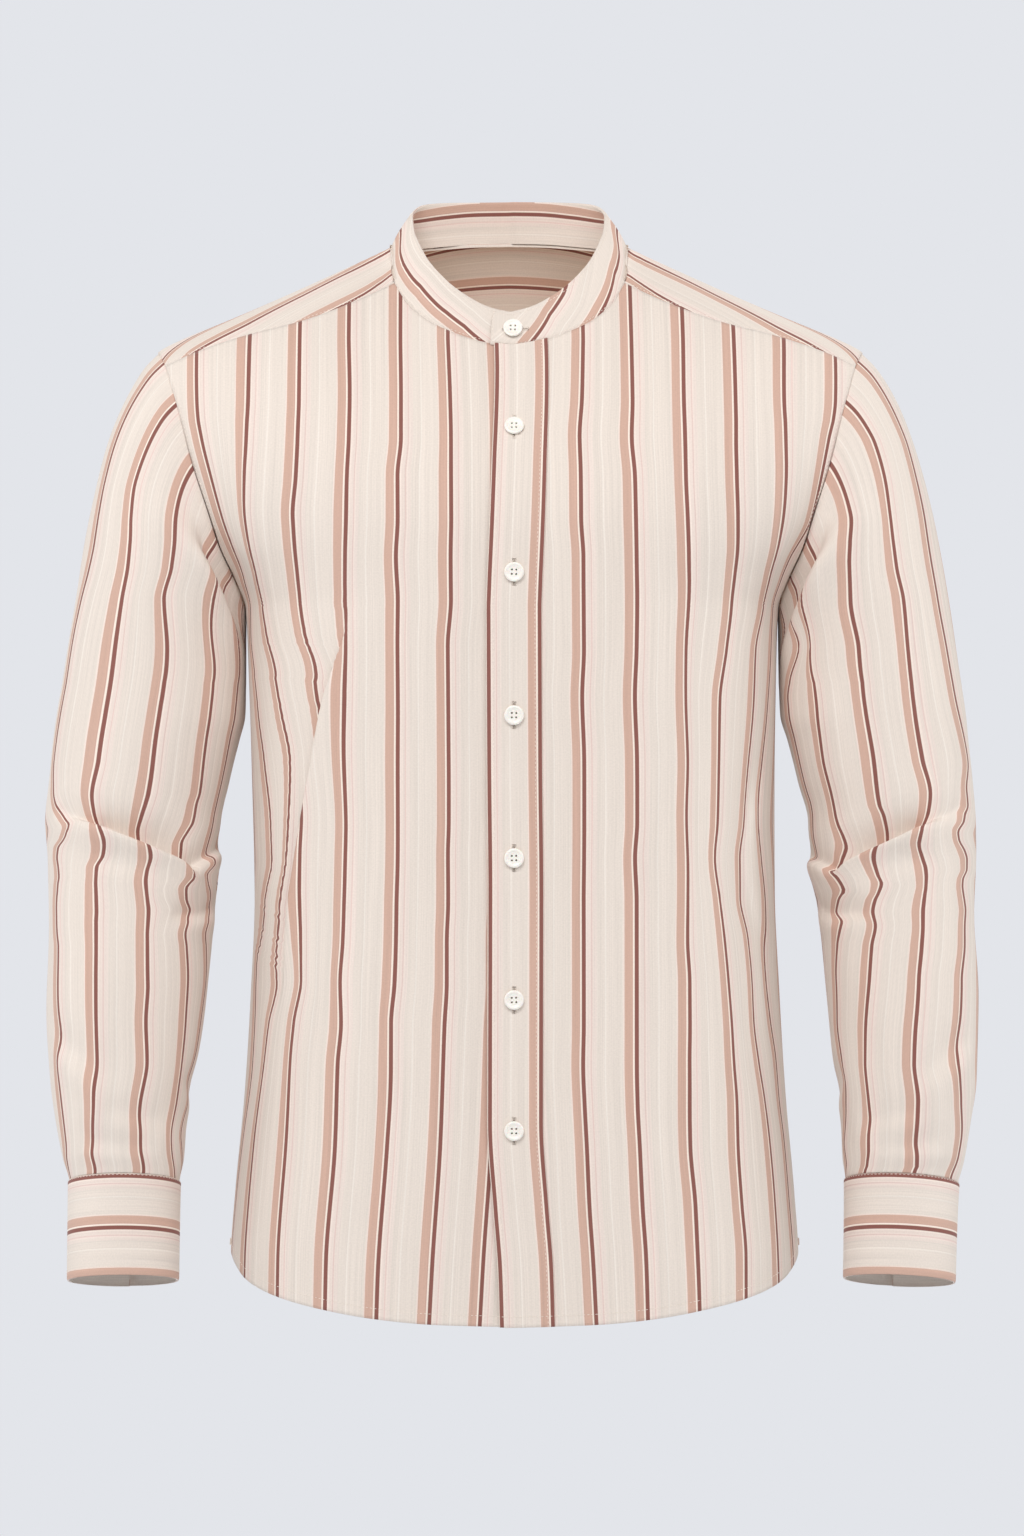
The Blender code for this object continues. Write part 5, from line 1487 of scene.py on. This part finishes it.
def node(tree, kind, settings=None, values=None, output=0):
    """Adds a shader node, sets it, fills its sockets with values or links, and gives an output."""
    made = tree.nodes.new(kind)
    settings = dict(settings or {})
    stops = settings.pop("stops", None)
    for name, value in settings.items():
        setattr(made, name, value)
    if stops:
        ramp = made.color_ramp
        while len(ramp.elements) < len(stops):
            ramp.elements.new(1.0)
        for element, (place, colour) in zip(ramp.elements, stops):
            element.position = place
            element.color = (*colour, 1.0)
    for key, value in (values or {}).items():
        socket = made.inputs[key]
        if isinstance(value, Socket):
            tree.links.new(value.output, socket)
        else:
            socket.default_value = value
    return Socket(tree, made.outputs[output])


def linear(red, green, blue):
    """A colour given in the usual 0 to 255 steps, as the shader needs it."""
    parts = [value / 255 for value in (red, green, blue)]
    return tuple(p / 12.92 if p <= 0.04045 else ((p + 0.055) / 1.055) ** 2.4 for p in parts)


def new_material(name):
    material = bpy.data.materials.new(name)
    material.use_nodes = True
    tree = material.node_tree
    tree.nodes.clear()
    return material, tree


def finish_material(tree, values):
    """Gives a material its surface, from the values and links of its sockets."""
    surface = node(tree, "ShaderNodeBsdfPrincipled", None, values)
    output = tree.nodes.new("ShaderNodeOutputMaterial")
    tree.links.new(surface.output, output.inputs["Surface"])


# Places of sockets that share their names with others on the same node
OBJECT_PLACE = 3
MIX_FACTOR, MIX_FIRST, MIX_SECOND, MIX_RESULT = 0, 6, 7, 2


def two_tones(tree, share, first, second):
    """A colour between two others."""
    colours = {
        MIX_FACTOR: share,
        MIX_FIRST: (*linear(*first), 1.0),
        MIX_SECOND: (*linear(*second), 1.0),
    }
    return node(tree, "ShaderNodeMix", {"data_type": "RGBA"}, colours, MIX_RESULT)


def yarn_noise(tree, across, along, detail):
    """Unevenness of the yarn. The places are scaled so that a speck is about 1 long each way."""
    place = node(tree, "ShaderNodeCombineXYZ", None, {0: across, 1: along, 2: 0.0})
    values = {"Vector": place, "Scale": 1.0, "Detail": detail}
    return node(tree, "ShaderNodeTexNoise", {"noise_dimensions": "2D"}, values)


# Bands of the stripe repeat, each from the end of the one before it, in millimetres.
CREAM = (234, 224, 215)
BANDS = (
    (5.0, (213, 178, 162)),
    (5.5, (205, 166, 153)),
    (6.7, (251, 238, 226)),
    (9.4, (143, 93, 85)),
    (10.5, (246, 232, 223)),
    (12.8, (238, 223, 215)),
    (13.6, (231, 208, 201)),
    (14.4, (240, 225, 217)),
    (16.6, (237, 224, 216)),
    (21.8, (233, 223, 214)),
    (22.7, (241, 233, 225)),
    (28.0, (235, 225, 216)),
    (33.8, CREAM),
    (34.7, (243, 228, 219)),
)
BAND_SOFTNESS = 0.12  # millimetres


def band_stops():
    """Ramp stops for the bands, with a short blend between neighbours."""
    stops = []
    start = 0.0
    repeat = STRIPE_REPEAT * 1000
    for end, colour in BANDS:
        stops.append(((start + BAND_SOFTNESS) / repeat, linear(*colour)))
        stops.append(((min(end, repeat) - BAND_SOFTNESS) / repeat, linear(*colour)))
        start = end
    return stops


# Yarn specks in a metre across and along the cloth, their detail, and how much each brightens it.
SLUBS = (1400.0, 9.0, 2.0, 0.18)
FLECKS = (700.0, 900.0, 1.0, 0.11)
BROAD_STREAKS = (260.0, 3.0, 1.0, 0.11)
DARKEST_YARN = 0.80
WEAVE = (0.6, 0.4)  # how much of the weave's height comes from the slubs and from the flecks
WEAVE_DEPTH = 0.0003


def striped_cloth():
    """Cotton with woven stripes: the colour runs across the flat cloth, with slubs along it."""
    material, tree = new_material("striped_poplin")
    place = node(tree, "ShaderNodeUVMap", {"uv_map": "cloth"})
    split = node(tree, "ShaderNodeSeparateXYZ", None, {0: place}).output.node
    across, along = Socket(tree, split.outputs[0]), Socket(tree, split.outputs[1])
    phase = (across / STRIPE_REPEAT).math("FRACT")
    colour = node(tree, "ShaderNodeValToRGB", {"stops": band_stops()}, {0: phase})
    bright = DARKEST_YARN
    noises = []
    for wide, tall, detail, strength in (SLUBS, FLECKS, BROAD_STREAKS):
        noises.append(yarn_noise(tree, across * wide, along * tall, detail))
        bright = bright + noises[-1] * strength
    tint = node(tree, "ShaderNodeCombineXYZ", None, {0: bright, 1: bright, 2: bright})
    dyed = node(
        tree,
        "ShaderNodeMix",
        {"data_type": "RGBA", "blend_type": "MULTIPLY"},
        {MIX_FACTOR: 1.0, MIX_FIRST: colour, MIX_SECOND: tint},
        MIX_RESULT,
    )
    weave = noises[0] * WEAVE[0] + noises[1] * WEAVE[1]
    bump_values = {"Strength": 0.25, "Distance": WEAVE_DEPTH, "Height": weave}
    bump = node(tree, "ShaderNodeBump", None, bump_values)
    values = {"Base Color": dyed, "Roughness": 0.82, "Normal": bump}
    finish_material(tree, {**values, "Specular IOR Level": 0.25, "Sheen Weight": 0.15})
    return material


def cotton_thread(name, dull, bright):
    """Sewing thread, slightly uneven along its length. Its two dark uses are painted shade: the thread
    under the buttons and the strips in the buttonholes.
    """
    material, tree = new_material(name)
    place = node(tree, "ShaderNodeTexCoord", output=OBJECT_PLACE)
    grain = node(tree, "ShaderNodeTexNoise", None, {"Vector": place, "Scale": 900.0, "Detail": 1.0})
    finish_material(tree, {"Base Color": two_tones(tree, grain, dull, bright), "Roughness": 0.7})
    return material


def button_shell():
    """Pale polished shell with a faint cloudy grain."""
    material, tree = new_material("button_shell")
    place = node(tree, "ShaderNodeTexCoord", output=OBJECT_PLACE)
    grain = {"Vector": place, "Scale": 260.0, "Detail": 3.0, "Distortion": 1.5}
    cloud = node(tree, "ShaderNodeTexNoise", None, grain)
    colour = two_tones(tree, cloud, (246, 241, 232), (255, 254, 250))
    values = {"Base Color": colour, "Roughness": 0.22 + cloud * 0.14}
    finish_material(tree, {**values, "Subsurface Weight": 0.08, "Subsurface Scale": 0.001})
    return material


def floor_paint():
    material, tree = new_material("floor_paint")
    finish_material(tree, {"Base Color": (*linear(224, 228, 233), 1.0), "Roughness": 0.9})
    return material


stripes = striped_cloth()
thread = cotton_thread("cotton_thread", (238, 226, 214), (254, 246, 238))
# Painted shade: the thread under the buttons is dark brown, standing for the shade inside their holes.
shaded = cotton_thread("shaded_thread", (96, 80, 70), (132, 112, 100))
# Painted shade: the buttonholes' slits are thin strips of this dark brown, standing for the shade inside
# the cut.
dark = cotton_thread("slit_shade", (112, 92, 82), (140, 118, 106))
shell = button_shell()

# ------------------------------------------------------------------ sewing

STITCH_PITCH = 0.0029
STITCH_LENGTH = 0.0020
THREAD = 0.00040  # thickness of a stitch
SATIN_THREAD = 0.00034
SHANK_THREAD = 0.00070
THREAD_LIFT = 0.00010  # the middle of a thread stands this far off the cloth
INSET_ROWS = 60  # rows of a piece in which a line of stitches is looked for


def new_tree(name, sizes):
    """A geometry node tree that takes a mesh and named sizes."""
    tree = bpy.data.node_groups.new(name, "GeometryNodeTree")
    tree.interface.new_socket("Lines", in_out="INPUT", socket_type="NodeSocketGeometry")
    for size, value in sizes.items():
        socket = tree.interface.new_socket(size, in_out="INPUT", socket_type="NodeSocketFloat")
        socket.default_value = value
    tree.interface.new_socket("Sewing", in_out="OUTPUT", socket_type="NodeSocketGeometry")
    entry = tree.nodes.new("NodeGroupInput")
    return tree, {socket.name: socket for socket in entry.outputs}


def step(tree, kind, settings=None, **links):
    """Adds a geometry node. Sockets are given by name, with _ for a space, as links or values."""
    made = tree.nodes.new(kind)
    for name, value in (settings or {}).items():
        setattr(made, name, value)
    for name, value in links.items():
        socket = made.inputs[name.replace("_", " ")]
        if isinstance(value, bpy.types.NodeSocket):
            tree.links.new(value, socket)
        else:
            socket.default_value = value
    return made.outputs[0]


def finish_tree(tree, geometry, material):
    real = step(tree, "GeometryNodeRealizeInstances", Geometry=geometry)
    smooth = step(tree, "GeometryNodeSetShadeSmooth", Geometry=real)
    coloured = step(tree, "GeometryNodeSetMaterial", Geometry=smooth, Material=material)
    leave = tree.nodes.new("NodeGroupOutput")
    tree.links.new(coloured, leave.inputs[0])


def stitch_tree():
    """Short stitches one after another along every line."""
    sizes = {"Pitch": STITCH_PITCH, "Length": STITCH_LENGTH, "Thread": THREAD}
    tree, given = new_tree("rows_of_stitches", sizes)
    curve = step(tree, "GeometryNodeMeshToCurve", Mesh=given["Lines"])
    every = given["Pitch"]
    spaced = step(tree, "GeometryNodeResampleCurve", {"mode": "LENGTH"}, Curve=curve, Length=every)
    ball = step(tree, "GeometryNodeMeshUVSphere", Segments=6, Rings=5, Radius=0.5)
    size = step(tree, "ShaderNodeCombineXYZ", X=given["Length"], Y=given["Thread"], Z=given["Thread"])
    stitch = step(tree, "GeometryNodeTransform", Geometry=ball, Scale=size)
    way = step(tree, "GeometryNodeInputTangent")
    turn = step(tree, "FunctionNodeAlignRotationToVector", {"axis": "X"}, Vector=way)
    rows = step(tree, "GeometryNodeInstanceOnPoints", Points=spaced, Instance=stitch, Rotation=turn)
    finish_tree(tree, rows, thread)
    return tree


def satin_tree(material):
    """A continuous thread along every line."""
    tree, given = new_tree("satin_thread", {"Thread": SATIN_THREAD})
    curve = step(tree, "GeometryNodeMeshToCurve", Mesh=given["Lines"])
    circle = tree.nodes.new("GeometryNodeCurvePrimitiveCircle")
    circle.inputs["Resolution"].default_value = 5
    half = step(tree, "ShaderNodeMath", {"operation": "MULTIPLY"}, Value=given["Thread"])
    half.node.inputs[1].default_value = 0.5
    tree.links.new(half, circle.inputs["Radius"])
    tube = step(tree, "GeometryNodeCurveToMesh", Curve=curve, Profile_Curve=circle.outputs[0])
    finish_tree(tree, tube, material)
    return tree


def sewn(name, lines, tree, sizes=None):
    """Runs a tree on lines of points and keeps the result as a plain mesh."""
    starts = np.cumsum([0] + [len(line) for line in lines])
    edges = [(i, i + 1) for k, line in enumerate(lines) for i in range(starts[k], starts[k + 1] - 1)]
    mesh = bpy.data.meshes.new(name)
    mesh.from_pydata(np.concatenate(lines).tolist(), edges, [])
    obj = bpy.data.objects.new(name, mesh)
    bpy.context.scene.collection.objects.link(obj)
    modifier = obj.modifiers.new("sewing", "NODES")
    modifier.node_group = tree
    for socket in tree.interface.items_tree:
        if socket.in_out == "INPUT" and socket.name in (sizes or {}):
            modifier[socket.identifier] = sizes[socket.name]
    keep_result(obj)
    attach(obj, "root")
    return obj


def keep_result(obj):
    """Makes an object's modifiers permanent."""
    result = obj.evaluated_get(bpy.context.evaluated_depsgraph_get())
    mesh = bpy.data.meshes.new_from_object(result)
    obj.modifiers.clear()
    obj.data = mesh


def inset(edges, distance, side, first=0, last=None):
    """A line this far in from one side of a piece, lying on its cloth."""
    points, normals = edges["points"], edges["normals"]
    if side in ("left", "right"):
        points, normals = swap(points, normals)
    if side in ("top", "right"):
        points, normals = points[::-1], normals[::-1]
    points, normals = points[:INSET_ROWS, first:last], normals[:INSET_ROWS, first:last]
    pieces = np.linalg.norm(np.diff(points, axis=0), axis=-1)
    along = np.vstack([0 * pieces[:1], np.cumsum(pieces, axis=0)])
    columns = np.arange(points.shape[1])
    row = np.array([np.interp(distance, along[:, c], np.arange(len(along))) for c in columns])
    low = np.minimum(row.astype(int), len(along) - 2)
    near = (row - low)[:, None]
    spots = points[low, columns] * (1 - near) + points[low + 1, columns] * near
    return spots + normals[low, columns] * THREAD_LIFT


def settle(edges, places, lift):
    """Places laid on a piece's cloth, this far above it."""
    points, normals = edges["points"].reshape(-1, 3), edges["normals"].reshape(-1, 3)
    nearest = np.argmin(((places[:, None] - points[None]) ** 2).sum(-1), axis=1)
    out = normals[nearest]
    height = ((places - points[nearest]) * out).sum(-1)
    return places + out * (lift - height)[:, None]


# ------------------------------------------------------------------ buttons and buttonholes

# A button's outline from the middle of its back round to the middle of its face, in millimetres.
BUTTON_OUTLINE = table(
    "radius height",
    (0.00, 0.15),
    (5.20, 0.15),
    (6.10, 0.45),
    (6.60, 0.95),
    (6.75, 1.45),
    (6.62, 1.95),
    (6.25, 2.30),
    (5.70, 2.45),
    (5.10, 2.38),
    (4.55, 2.12),
    (4.10, 1.92),
    (3.30, 1.84),
    (0.00, 1.80),
)
HOLE_OUTLINE = table(
    "radius height",
    (0.00, -1.0),
    (0.62, -1.0),
    (0.62, 1.55),
    (0.80, 1.78),
    (0.98, 2.40),
    (0.00, 2.40),
)
HOLE_SPACING = 0.0030
BUTTON_SIDES = 48
HOLE_SIDES = 14
BUTTON_CLEAR = 0.0005  # space under a button
BUTTON_TURN = 0.04  # radians by which a button may sit turned
NEAR_POINTS = 30  # of the cloth, whose mean way out a button follows
SHARP_ANGLE = math.radians(40)

# The wad of thread under a button, as shares of half of its holes' spacing, and the heights of
# its two ends and of the thread in each hole.
WAD_THREADS = 5
WAD_WIDTH = 0.8
WAD_LENGTH = 0.9
WAD_HEIGHTS = (0.0002, 0.0003)
HOLE_HEIGHTS = (-0.0002, 0.0007)

BUTTONHOLE_LENGTH = 0.0170
BUTTONHOLE_SHIFT = 0.0019  # a level buttonhole's middle past its button's
SATIN_PITCH = 0.00046
SATIN_REACH = (0.00125, 0.00030)  # a satin row's outer and inner edge, from the slit's middle
BAR_ENDS = (-0.0002, 0.0009)  # a bar's ends, past the end of the slit
BAR_REACH = 0.00140
BAR_STEPS = 9
# The slit's strip is painted dark as the shade inside the cut: its steps, width and lift off the cloth.
SLIT_STEPS = 8
SLIT_WIDTH = 0.00044
SLIT_LIFT = 0.00006


def turned(outline, sides, middle=(0.0, 0.0)):
    """Points and faces of a turned form about an upright line."""
    radius, height = outline["radius"] / 1000, outline["height"] / 1000
    turn = np.arange(sides) * 2 * np.pi / sides
    verts = [(middle[0], middle[1], height[0])]
    for r, h in zip(radius[1:-1], height[1:-1]):
        verts += [(middle[0] + r * np.cos(t), middle[1] + r * np.sin(t), h) for t in turn]
    verts.append((middle[0], middle[1], height[-1]))
    faces = []
    rings = len(radius) - 2
    for k in range(sides):
        n = (k + 1) % sides
        faces.append((0, 1 + n, 1 + k))
        for r in range(rings - 1):
            a, b = 1 + r * sides, 1 + (r + 1) * sides
            faces.append((a + k, a + n, b + n, b + k))
        a = 1 + (rings - 1) * sides
        faces.append((a + k, a + n, len(verts) - 1))
    return verts, faces


def solid(name, forms):
    """An object from several closed forms."""
    verts, faces = [], []
    for form_verts, form_faces in forms:
        faces += [tuple(i + len(verts) for i in face) for face in form_faces]
        verts += form_verts
    mesh = bpy.data.meshes.new(name)
    mesh.from_pydata(verts, [], faces)
    obj = bpy.data.objects.new(name, mesh)
    bpy.context.scene.collection.objects.link(obj)
    return obj


def button_pattern():
    """One button lying face up at the origin, its four holes cut through."""
    body = solid("button_pattern", [turned(BUTTON_OUTLINE, BUTTON_SIDES)])
    half = HOLE_SPACING / 2
    corners = [(x * half, y * half) for x in (-1, 1) for y in (-1, 1)]
    holes = solid("button_holes", [turned(HOLE_OUTLINE, HOLE_SIDES, corner) for corner in corners])
    cut = body.modifiers.new("holes", "BOOLEAN")
    cut.object = holes
    cut.solver = "EXACT"
    keep_result(body)
    mesh = body.data
    for obj in (body, holes):
        bpy.data.objects.remove(obj)
    return mesh


def frame_on(edges, button):
    """The middle of a CAD button laid on the cloth, with the cloth's way out, across and up."""
    low, high = (np.array(corner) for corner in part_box(button))
    spot = settle(edges, ((low + high) / 2)[None], 0.0)[0]
    points, normals = edges["points"].reshape(-1, 3), edges["normals"].reshape(-1, 3)
    near = np.argsort(((points - spot) ** 2).sum(-1))[:NEAR_POINTS]
    out = unit(normals[near].mean(axis=0))
    across = unit(np.cross([0.0, 0.0, 1.0], out))
    return spot, out, across, np.cross(out, across)


def set_button(pattern, button, edges, turn):
    """A button on the cloth in a CAD button's place. Gives the frame that its thread follows."""
    spot, out, across, up = frame_on(edges, button)
    a = across * math.cos(turn) + up * math.sin(turn)
    b = up * math.cos(turn) - across * math.sin(turn)
    mesh = pattern.copy()
    local = np.empty(len(mesh.vertices) * 3)
    mesh.vertices.foreach_get("co", local)
    local = local.reshape(-1, 3)
    placed = spot + local[:, :1] * a + local[:, 1:2] * b + (local[:, 2:] + BUTTON_CLEAR) * out
    mesh.vertices.foreach_set("co", placed.ravel())
    mesh.update()
    mesh.shade_smooth()
    mesh.set_sharp_from_angle(angle=SHARP_ANGLE)
    mesh.materials.clear()
    mesh.materials.append(shell)
    obj = bpy.data.objects.new(f"{button}_shell", mesh)
    bpy.context.scene.collection.objects.link(obj)
    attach(obj, "root")
    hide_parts(button)
    return a * HOLE_SPACING / 2, b * HOLE_SPACING / 2, spot, out


def shank(a, b, spot, out):
    """The thread that holds a button: a wad below it that fills its holes from underneath. It is painted
    dark, as the shade inside the holes.
    """
    low, high = WAD_HEIGHTS
    lines = []
    for t in np.linspace(-WAD_WIDTH, WAD_WIDTH, WAD_THREADS):
        start = spot + a * t - b * WAD_LENGTH + out * low
        lines.append(np.array([start, spot + a * t + b * WAD_LENGTH + out * high]))
    for sign in (-1, 1):
        for other in (-1, 1):
            foot = spot + a * sign + b * other
            lines.append(np.array([foot + out * height for height in HOLE_HEIGHTS]))
    return lines


def buttonhole(edges, button, upright):
    """Satin stitches round a slit with a bar at each end, and a strip along the slit painted dark as its
    shade.
    """
    spot, out, across, up = frame_on(edges, button)
    if not upright:
        spot = spot + across * BUTTONHOLE_SHIFT
    along, aside = (up, across) if upright else (across, up)

    def line(t, s):
        return spot + t[:, None] * along + np.reshape(s, (-1, 1)) * aside

    half = BUTTONHOLE_LENGTH / 2
    steps = int(round(BUTTONHOLE_LENGTH / SATIN_PITCH)) * 2
    lines = []
    for side in (-1, 1):
        s = side * np.where(np.arange(steps) % 2, SATIN_REACH[1], SATIN_REACH[0])
        lines.append(line(np.linspace(-half, half, steps), s))
    for end in (-1, 1):
        t = end * (half + np.linspace(*BAR_ENDS, BAR_STEPS))
        lines.append(line(t, np.where(np.arange(BAR_STEPS) % 2, -BAR_REACH, BAR_REACH)))
    t = np.linspace(-half, half, SLIT_STEPS + 1)
    slit = np.concatenate([line(t, s) for s in (-SLIT_WIDTH / 2, SLIT_WIDTH / 2)])
    return [settle(edges, sewn_line, THREAD_LIFT) for sewn_line in lines], settle(edges, slit, SLIT_LIFT)


def slit_shade_object(name, slit_shades):
    """Strips painted dark as the shade inside the buttonholes' cuts, each two lines of points with faces
    between them.
    """
    row = SLIT_STEPS + 1
    faces = []
    for k in range(len(slit_shades)):
        for i in range(2 * row * k, 2 * row * k + SLIT_STEPS):
            faces.append((i, i + 1, i + row + 1, i + row))
    obj = solid(name, [(np.concatenate(slit_shades).tolist(), faces)])
    obj.data.materials.append(dark)
    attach(obj, "root")


# ------------------------------------------------------------------ the shirt

fronts = {side: front(side) for side in (LEFT, RIGHT)}
placket_face = placket(fronts[LEFT])
back_edges = back()
yoke_edges = yoke()
collar = collar_band()
sleeves = {side: sleeve(side) for side in (RIGHT, LEFT)}
cuffs = {side: cuff(side) for side in (RIGHT, LEFT)}
strips = {side: sleeve_strip(side, sleeves[side]) for side in (RIGHT, LEFT)}

HEM_STITCH = 0.0070  # how far each row of stitches lies from its edge
PLACKET_STITCH = 0.0052
SIDE_STITCH = 0.0060
SEAM_STITCH = 0.0016
STRIP_STITCH = 0.0020
COLLAR_STITCHES = {"bottom": 0.0014, "top": 0.0020, "right": 0.0018}
CUFF_STITCHES = {"bottom": 0.0009, "top": 0.0060, "right": 0.0018}

covered = int(np.searchsorted(lengths(fronts[LEFT]["points"][0]), PLACKET_WIDTH))
under_arm = LOW_STEPS + 1
stitches = {
    "hem_stitches": [
        inset(fronts[LEFT], HEM_STITCH, "bottom", covered),
        inset(fronts[RIGHT], HEM_STITCH, "bottom"),
        inset(placket_face, HEM_STITCH, "bottom"),
        inset(back_edges, HEM_STITCH, "bottom"),
    ],
    "placket_stitches": [inset(placket_face, PLACKET_STITCH, edge) for edge in ("left", "right")],
    "side_seam_stitches": [
        inset(back_edges, SIDE_STITCH, edge, 0, under_arm) for edge in ("left", "right")
    ],
    "armhole_stitches": [
        inset(fronts[LEFT], SEAM_STITCH, "right", under_arm),
        inset(fronts[RIGHT], SEAM_STITCH, "right", under_arm),
        inset(back_edges, SEAM_STITCH, "left", under_arm),
        inset(back_edges, SEAM_STITCH, "right", under_arm),
    ],
    "yoke_stitches": [
        inset(yoke_edges, SEAM_STITCH, "bottom", 2, SHOULDER_STEPS - 1),
        inset(yoke_edges, SEAM_STITCH, "bottom", 1 - SHOULDER_STEPS, -2),
        inset(yoke_edges, SEAM_STITCH, "top", 2, -2),
    ],
    "collar_stitches": [
        inset(collar, COLLAR_STITCHES["bottom"], "bottom", 2, -4),
        inset(collar, COLLAR_STITCHES["top"], "top", 2, -3),
        inset(collar, COLLAR_STITCHES["right"], "right", 1, -1),
    ],
}
for side in (RIGHT, LEFT):
    stitches[f"cuff_stitches_{WORD[side]}"] = [
        inset(cuffs[side], CUFF_STITCHES["bottom"], "bottom", 2, -2),
        inset(cuffs[side], CUFF_STITCHES["top"], "top", 2, -4),
        inset(cuffs[side], CUFF_STITCHES["right"], "right", 1, -6),
    ]
    stitches[f"strip_stitches_{WORD[side]}"] = [
        inset(strips[side], STRIP_STITCH, edge, 2, -3) for edge in ("left", "right")
    ]
rows_of_stitches = stitch_tree()
for name, lines in stitches.items():
    sewn(name, lines, rows_of_stitches)

pattern = button_pattern()
button_places = {f"button_front_{k + 1}": (placket_face, True) for k in range(FRONT_BUTTONS)}
button_places["button_collar"] = (collar, False)
button_places["button_cuff_right"] = (cuffs[RIGHT], False)
button_places["button_cuff_left"] = (cuffs[LEFT], False)
shanks, satin_lines, slit_shades = [], [], []
for k, (button, (edges, upright)) in enumerate(button_places.items()):
    shanks += shank(*set_button(pattern, button, edges, BUTTON_TURN * math.sin(5.0 * k)))
    lines, slit = buttonhole(edges, button, upright)
    satin_lines += lines
    slit_shades.append(slit)
sewn("button_thread_painted_shade", shanks, satin_tree(shaded), {"Thread": SHANK_THREAD})
sewn("buttonhole_thread", satin_lines, satin_tree(thread))
slit_shade_object("buttonhole_slit_shades", slit_shades)

# ------------------------------------------------------------------ floor, light and camera

CAMERA_DISTANCE = 4.5
CAMERA_HEIGHT = -0.3591
FRAME_HEIGHT = 1.0752  # at the plane y = 0
FLOOR_HEIGHT = -1.30
FLOOR_HALF = 2.6
SENSOR = 36.0  # millimetres

DAYLIGHT = (1.0, 0.99, 0.985)
WHITE = (1.0, 1.0, 1.0)
WARM_CLOTH = (1.0, 0.70, 0.46)

# The lamps: place, what each points at, width and height, power in watts, and colour. The one in
# the neck is small and warm, like the light that the cloth there gets from itself.
LAMPS = {
    "key": ((-0.9, -3.0, 2.0), (0, 0, -0.25), (1.8, 1.8), 74.0, DAYLIGHT),
    "fill": ((1.4, -3.0, 1.3), (0, 0, -0.30), (2.0, 2.0), 27.0, DAYLIGHT),
    "left_side": ((-2.6, 0.15, 0.2), (0, 0, -0.35), (1.8, 1.8), 24.0, WHITE),
    "right_side": ((2.6, 0.15, 0.2), (0, 0, -0.35), (1.8, 1.8), 24.0, WHITE),
    "back": ((0.4, 2.4, 1.8), (0, 0, -0.2), (2.0, 1.2), 22.0, WHITE),
    "neck": ((0, -0.03, -0.15), (0, 0.09, -0.02), (0.14, 0.08), 0.06, WARM_CLOTH),
}
SEEN_BACKGROUND = {"Color": (*linear(227, 229, 234), 1.0), "Strength": 1.0}
SOFT_BACKGROUND = {"Color": (1.0, 0.94, 0.88, 1.0), "Strength": 0.33}


def stage():
    ways = ((-1, -1), (1, -1), (1, 1), (-1, 1))
    corners = [(x * FLOOR_HALF, y * FLOOR_HALF, FLOOR_HEIGHT) for x, y in ways]
    floor = solid("floor", [(corners, [(0, 1, 2, 3)])])
    floor.data.materials.append(floor_paint())


def area_light(name, place, target, size, power, colour):
    data = bpy.data.lights.new(name, "AREA")
    data.shape = "RECTANGLE"
    data.size, data.size_y = size
    data.energy = power
    data.color = colour
    lamp = bpy.data.objects.new(name, data)
    lamp.location = place
    lamp.rotation_euler = (Vector(target) - Vector(place)).to_track_quat("-Z", "Y").to_euler()
    bpy.context.scene.collection.objects.link(lamp)


def studio():
    """Soft light all round, brighter to the eye than to the cloth, and the lamps."""
    world = bpy.data.worlds.new("studio")
    bpy.context.scene.world = world
    world.use_nodes = True
    tree = world.node_tree
    tree.nodes.clear()
    seen = node(tree, "ShaderNodeBackground", None, SEEN_BACKGROUND)
    soft = node(tree, "ShaderNodeBackground", None, SOFT_BACKGROUND)
    ray = node(tree, "ShaderNodeLightPath")
    mix = node(tree, "ShaderNodeMixShader", None, {0: ray, 1: soft, 2: seen})
    output = tree.nodes.new("ShaderNodeOutputWorld")
    tree.links.new(mix.output, output.inputs["Surface"])
    for name, lamp in LAMPS.items():
        area_light(name, *lamp)
    scene = bpy.context.scene
    scene.view_settings.view_transform = "Standard"
    scene.view_settings.look = "None"


def camera():
    data = bpy.data.cameras.new("camera")
    data.sensor_width = SENSOR
    data.lens = SENSOR * CAMERA_DISTANCE / FRAME_HEIGHT
    data.clip_end = 50.0
    view = bpy.data.objects.new("camera", data)
    view.location = (0.0, -CAMERA_DISTANCE, CAMERA_HEIGHT)
    view.rotation_euler = (math.pi / 2, 0.0, 0.0)
    bpy.context.scene.collection.objects.link(view)
    bpy.context.scene.camera = view


stage()
studio()
camera()
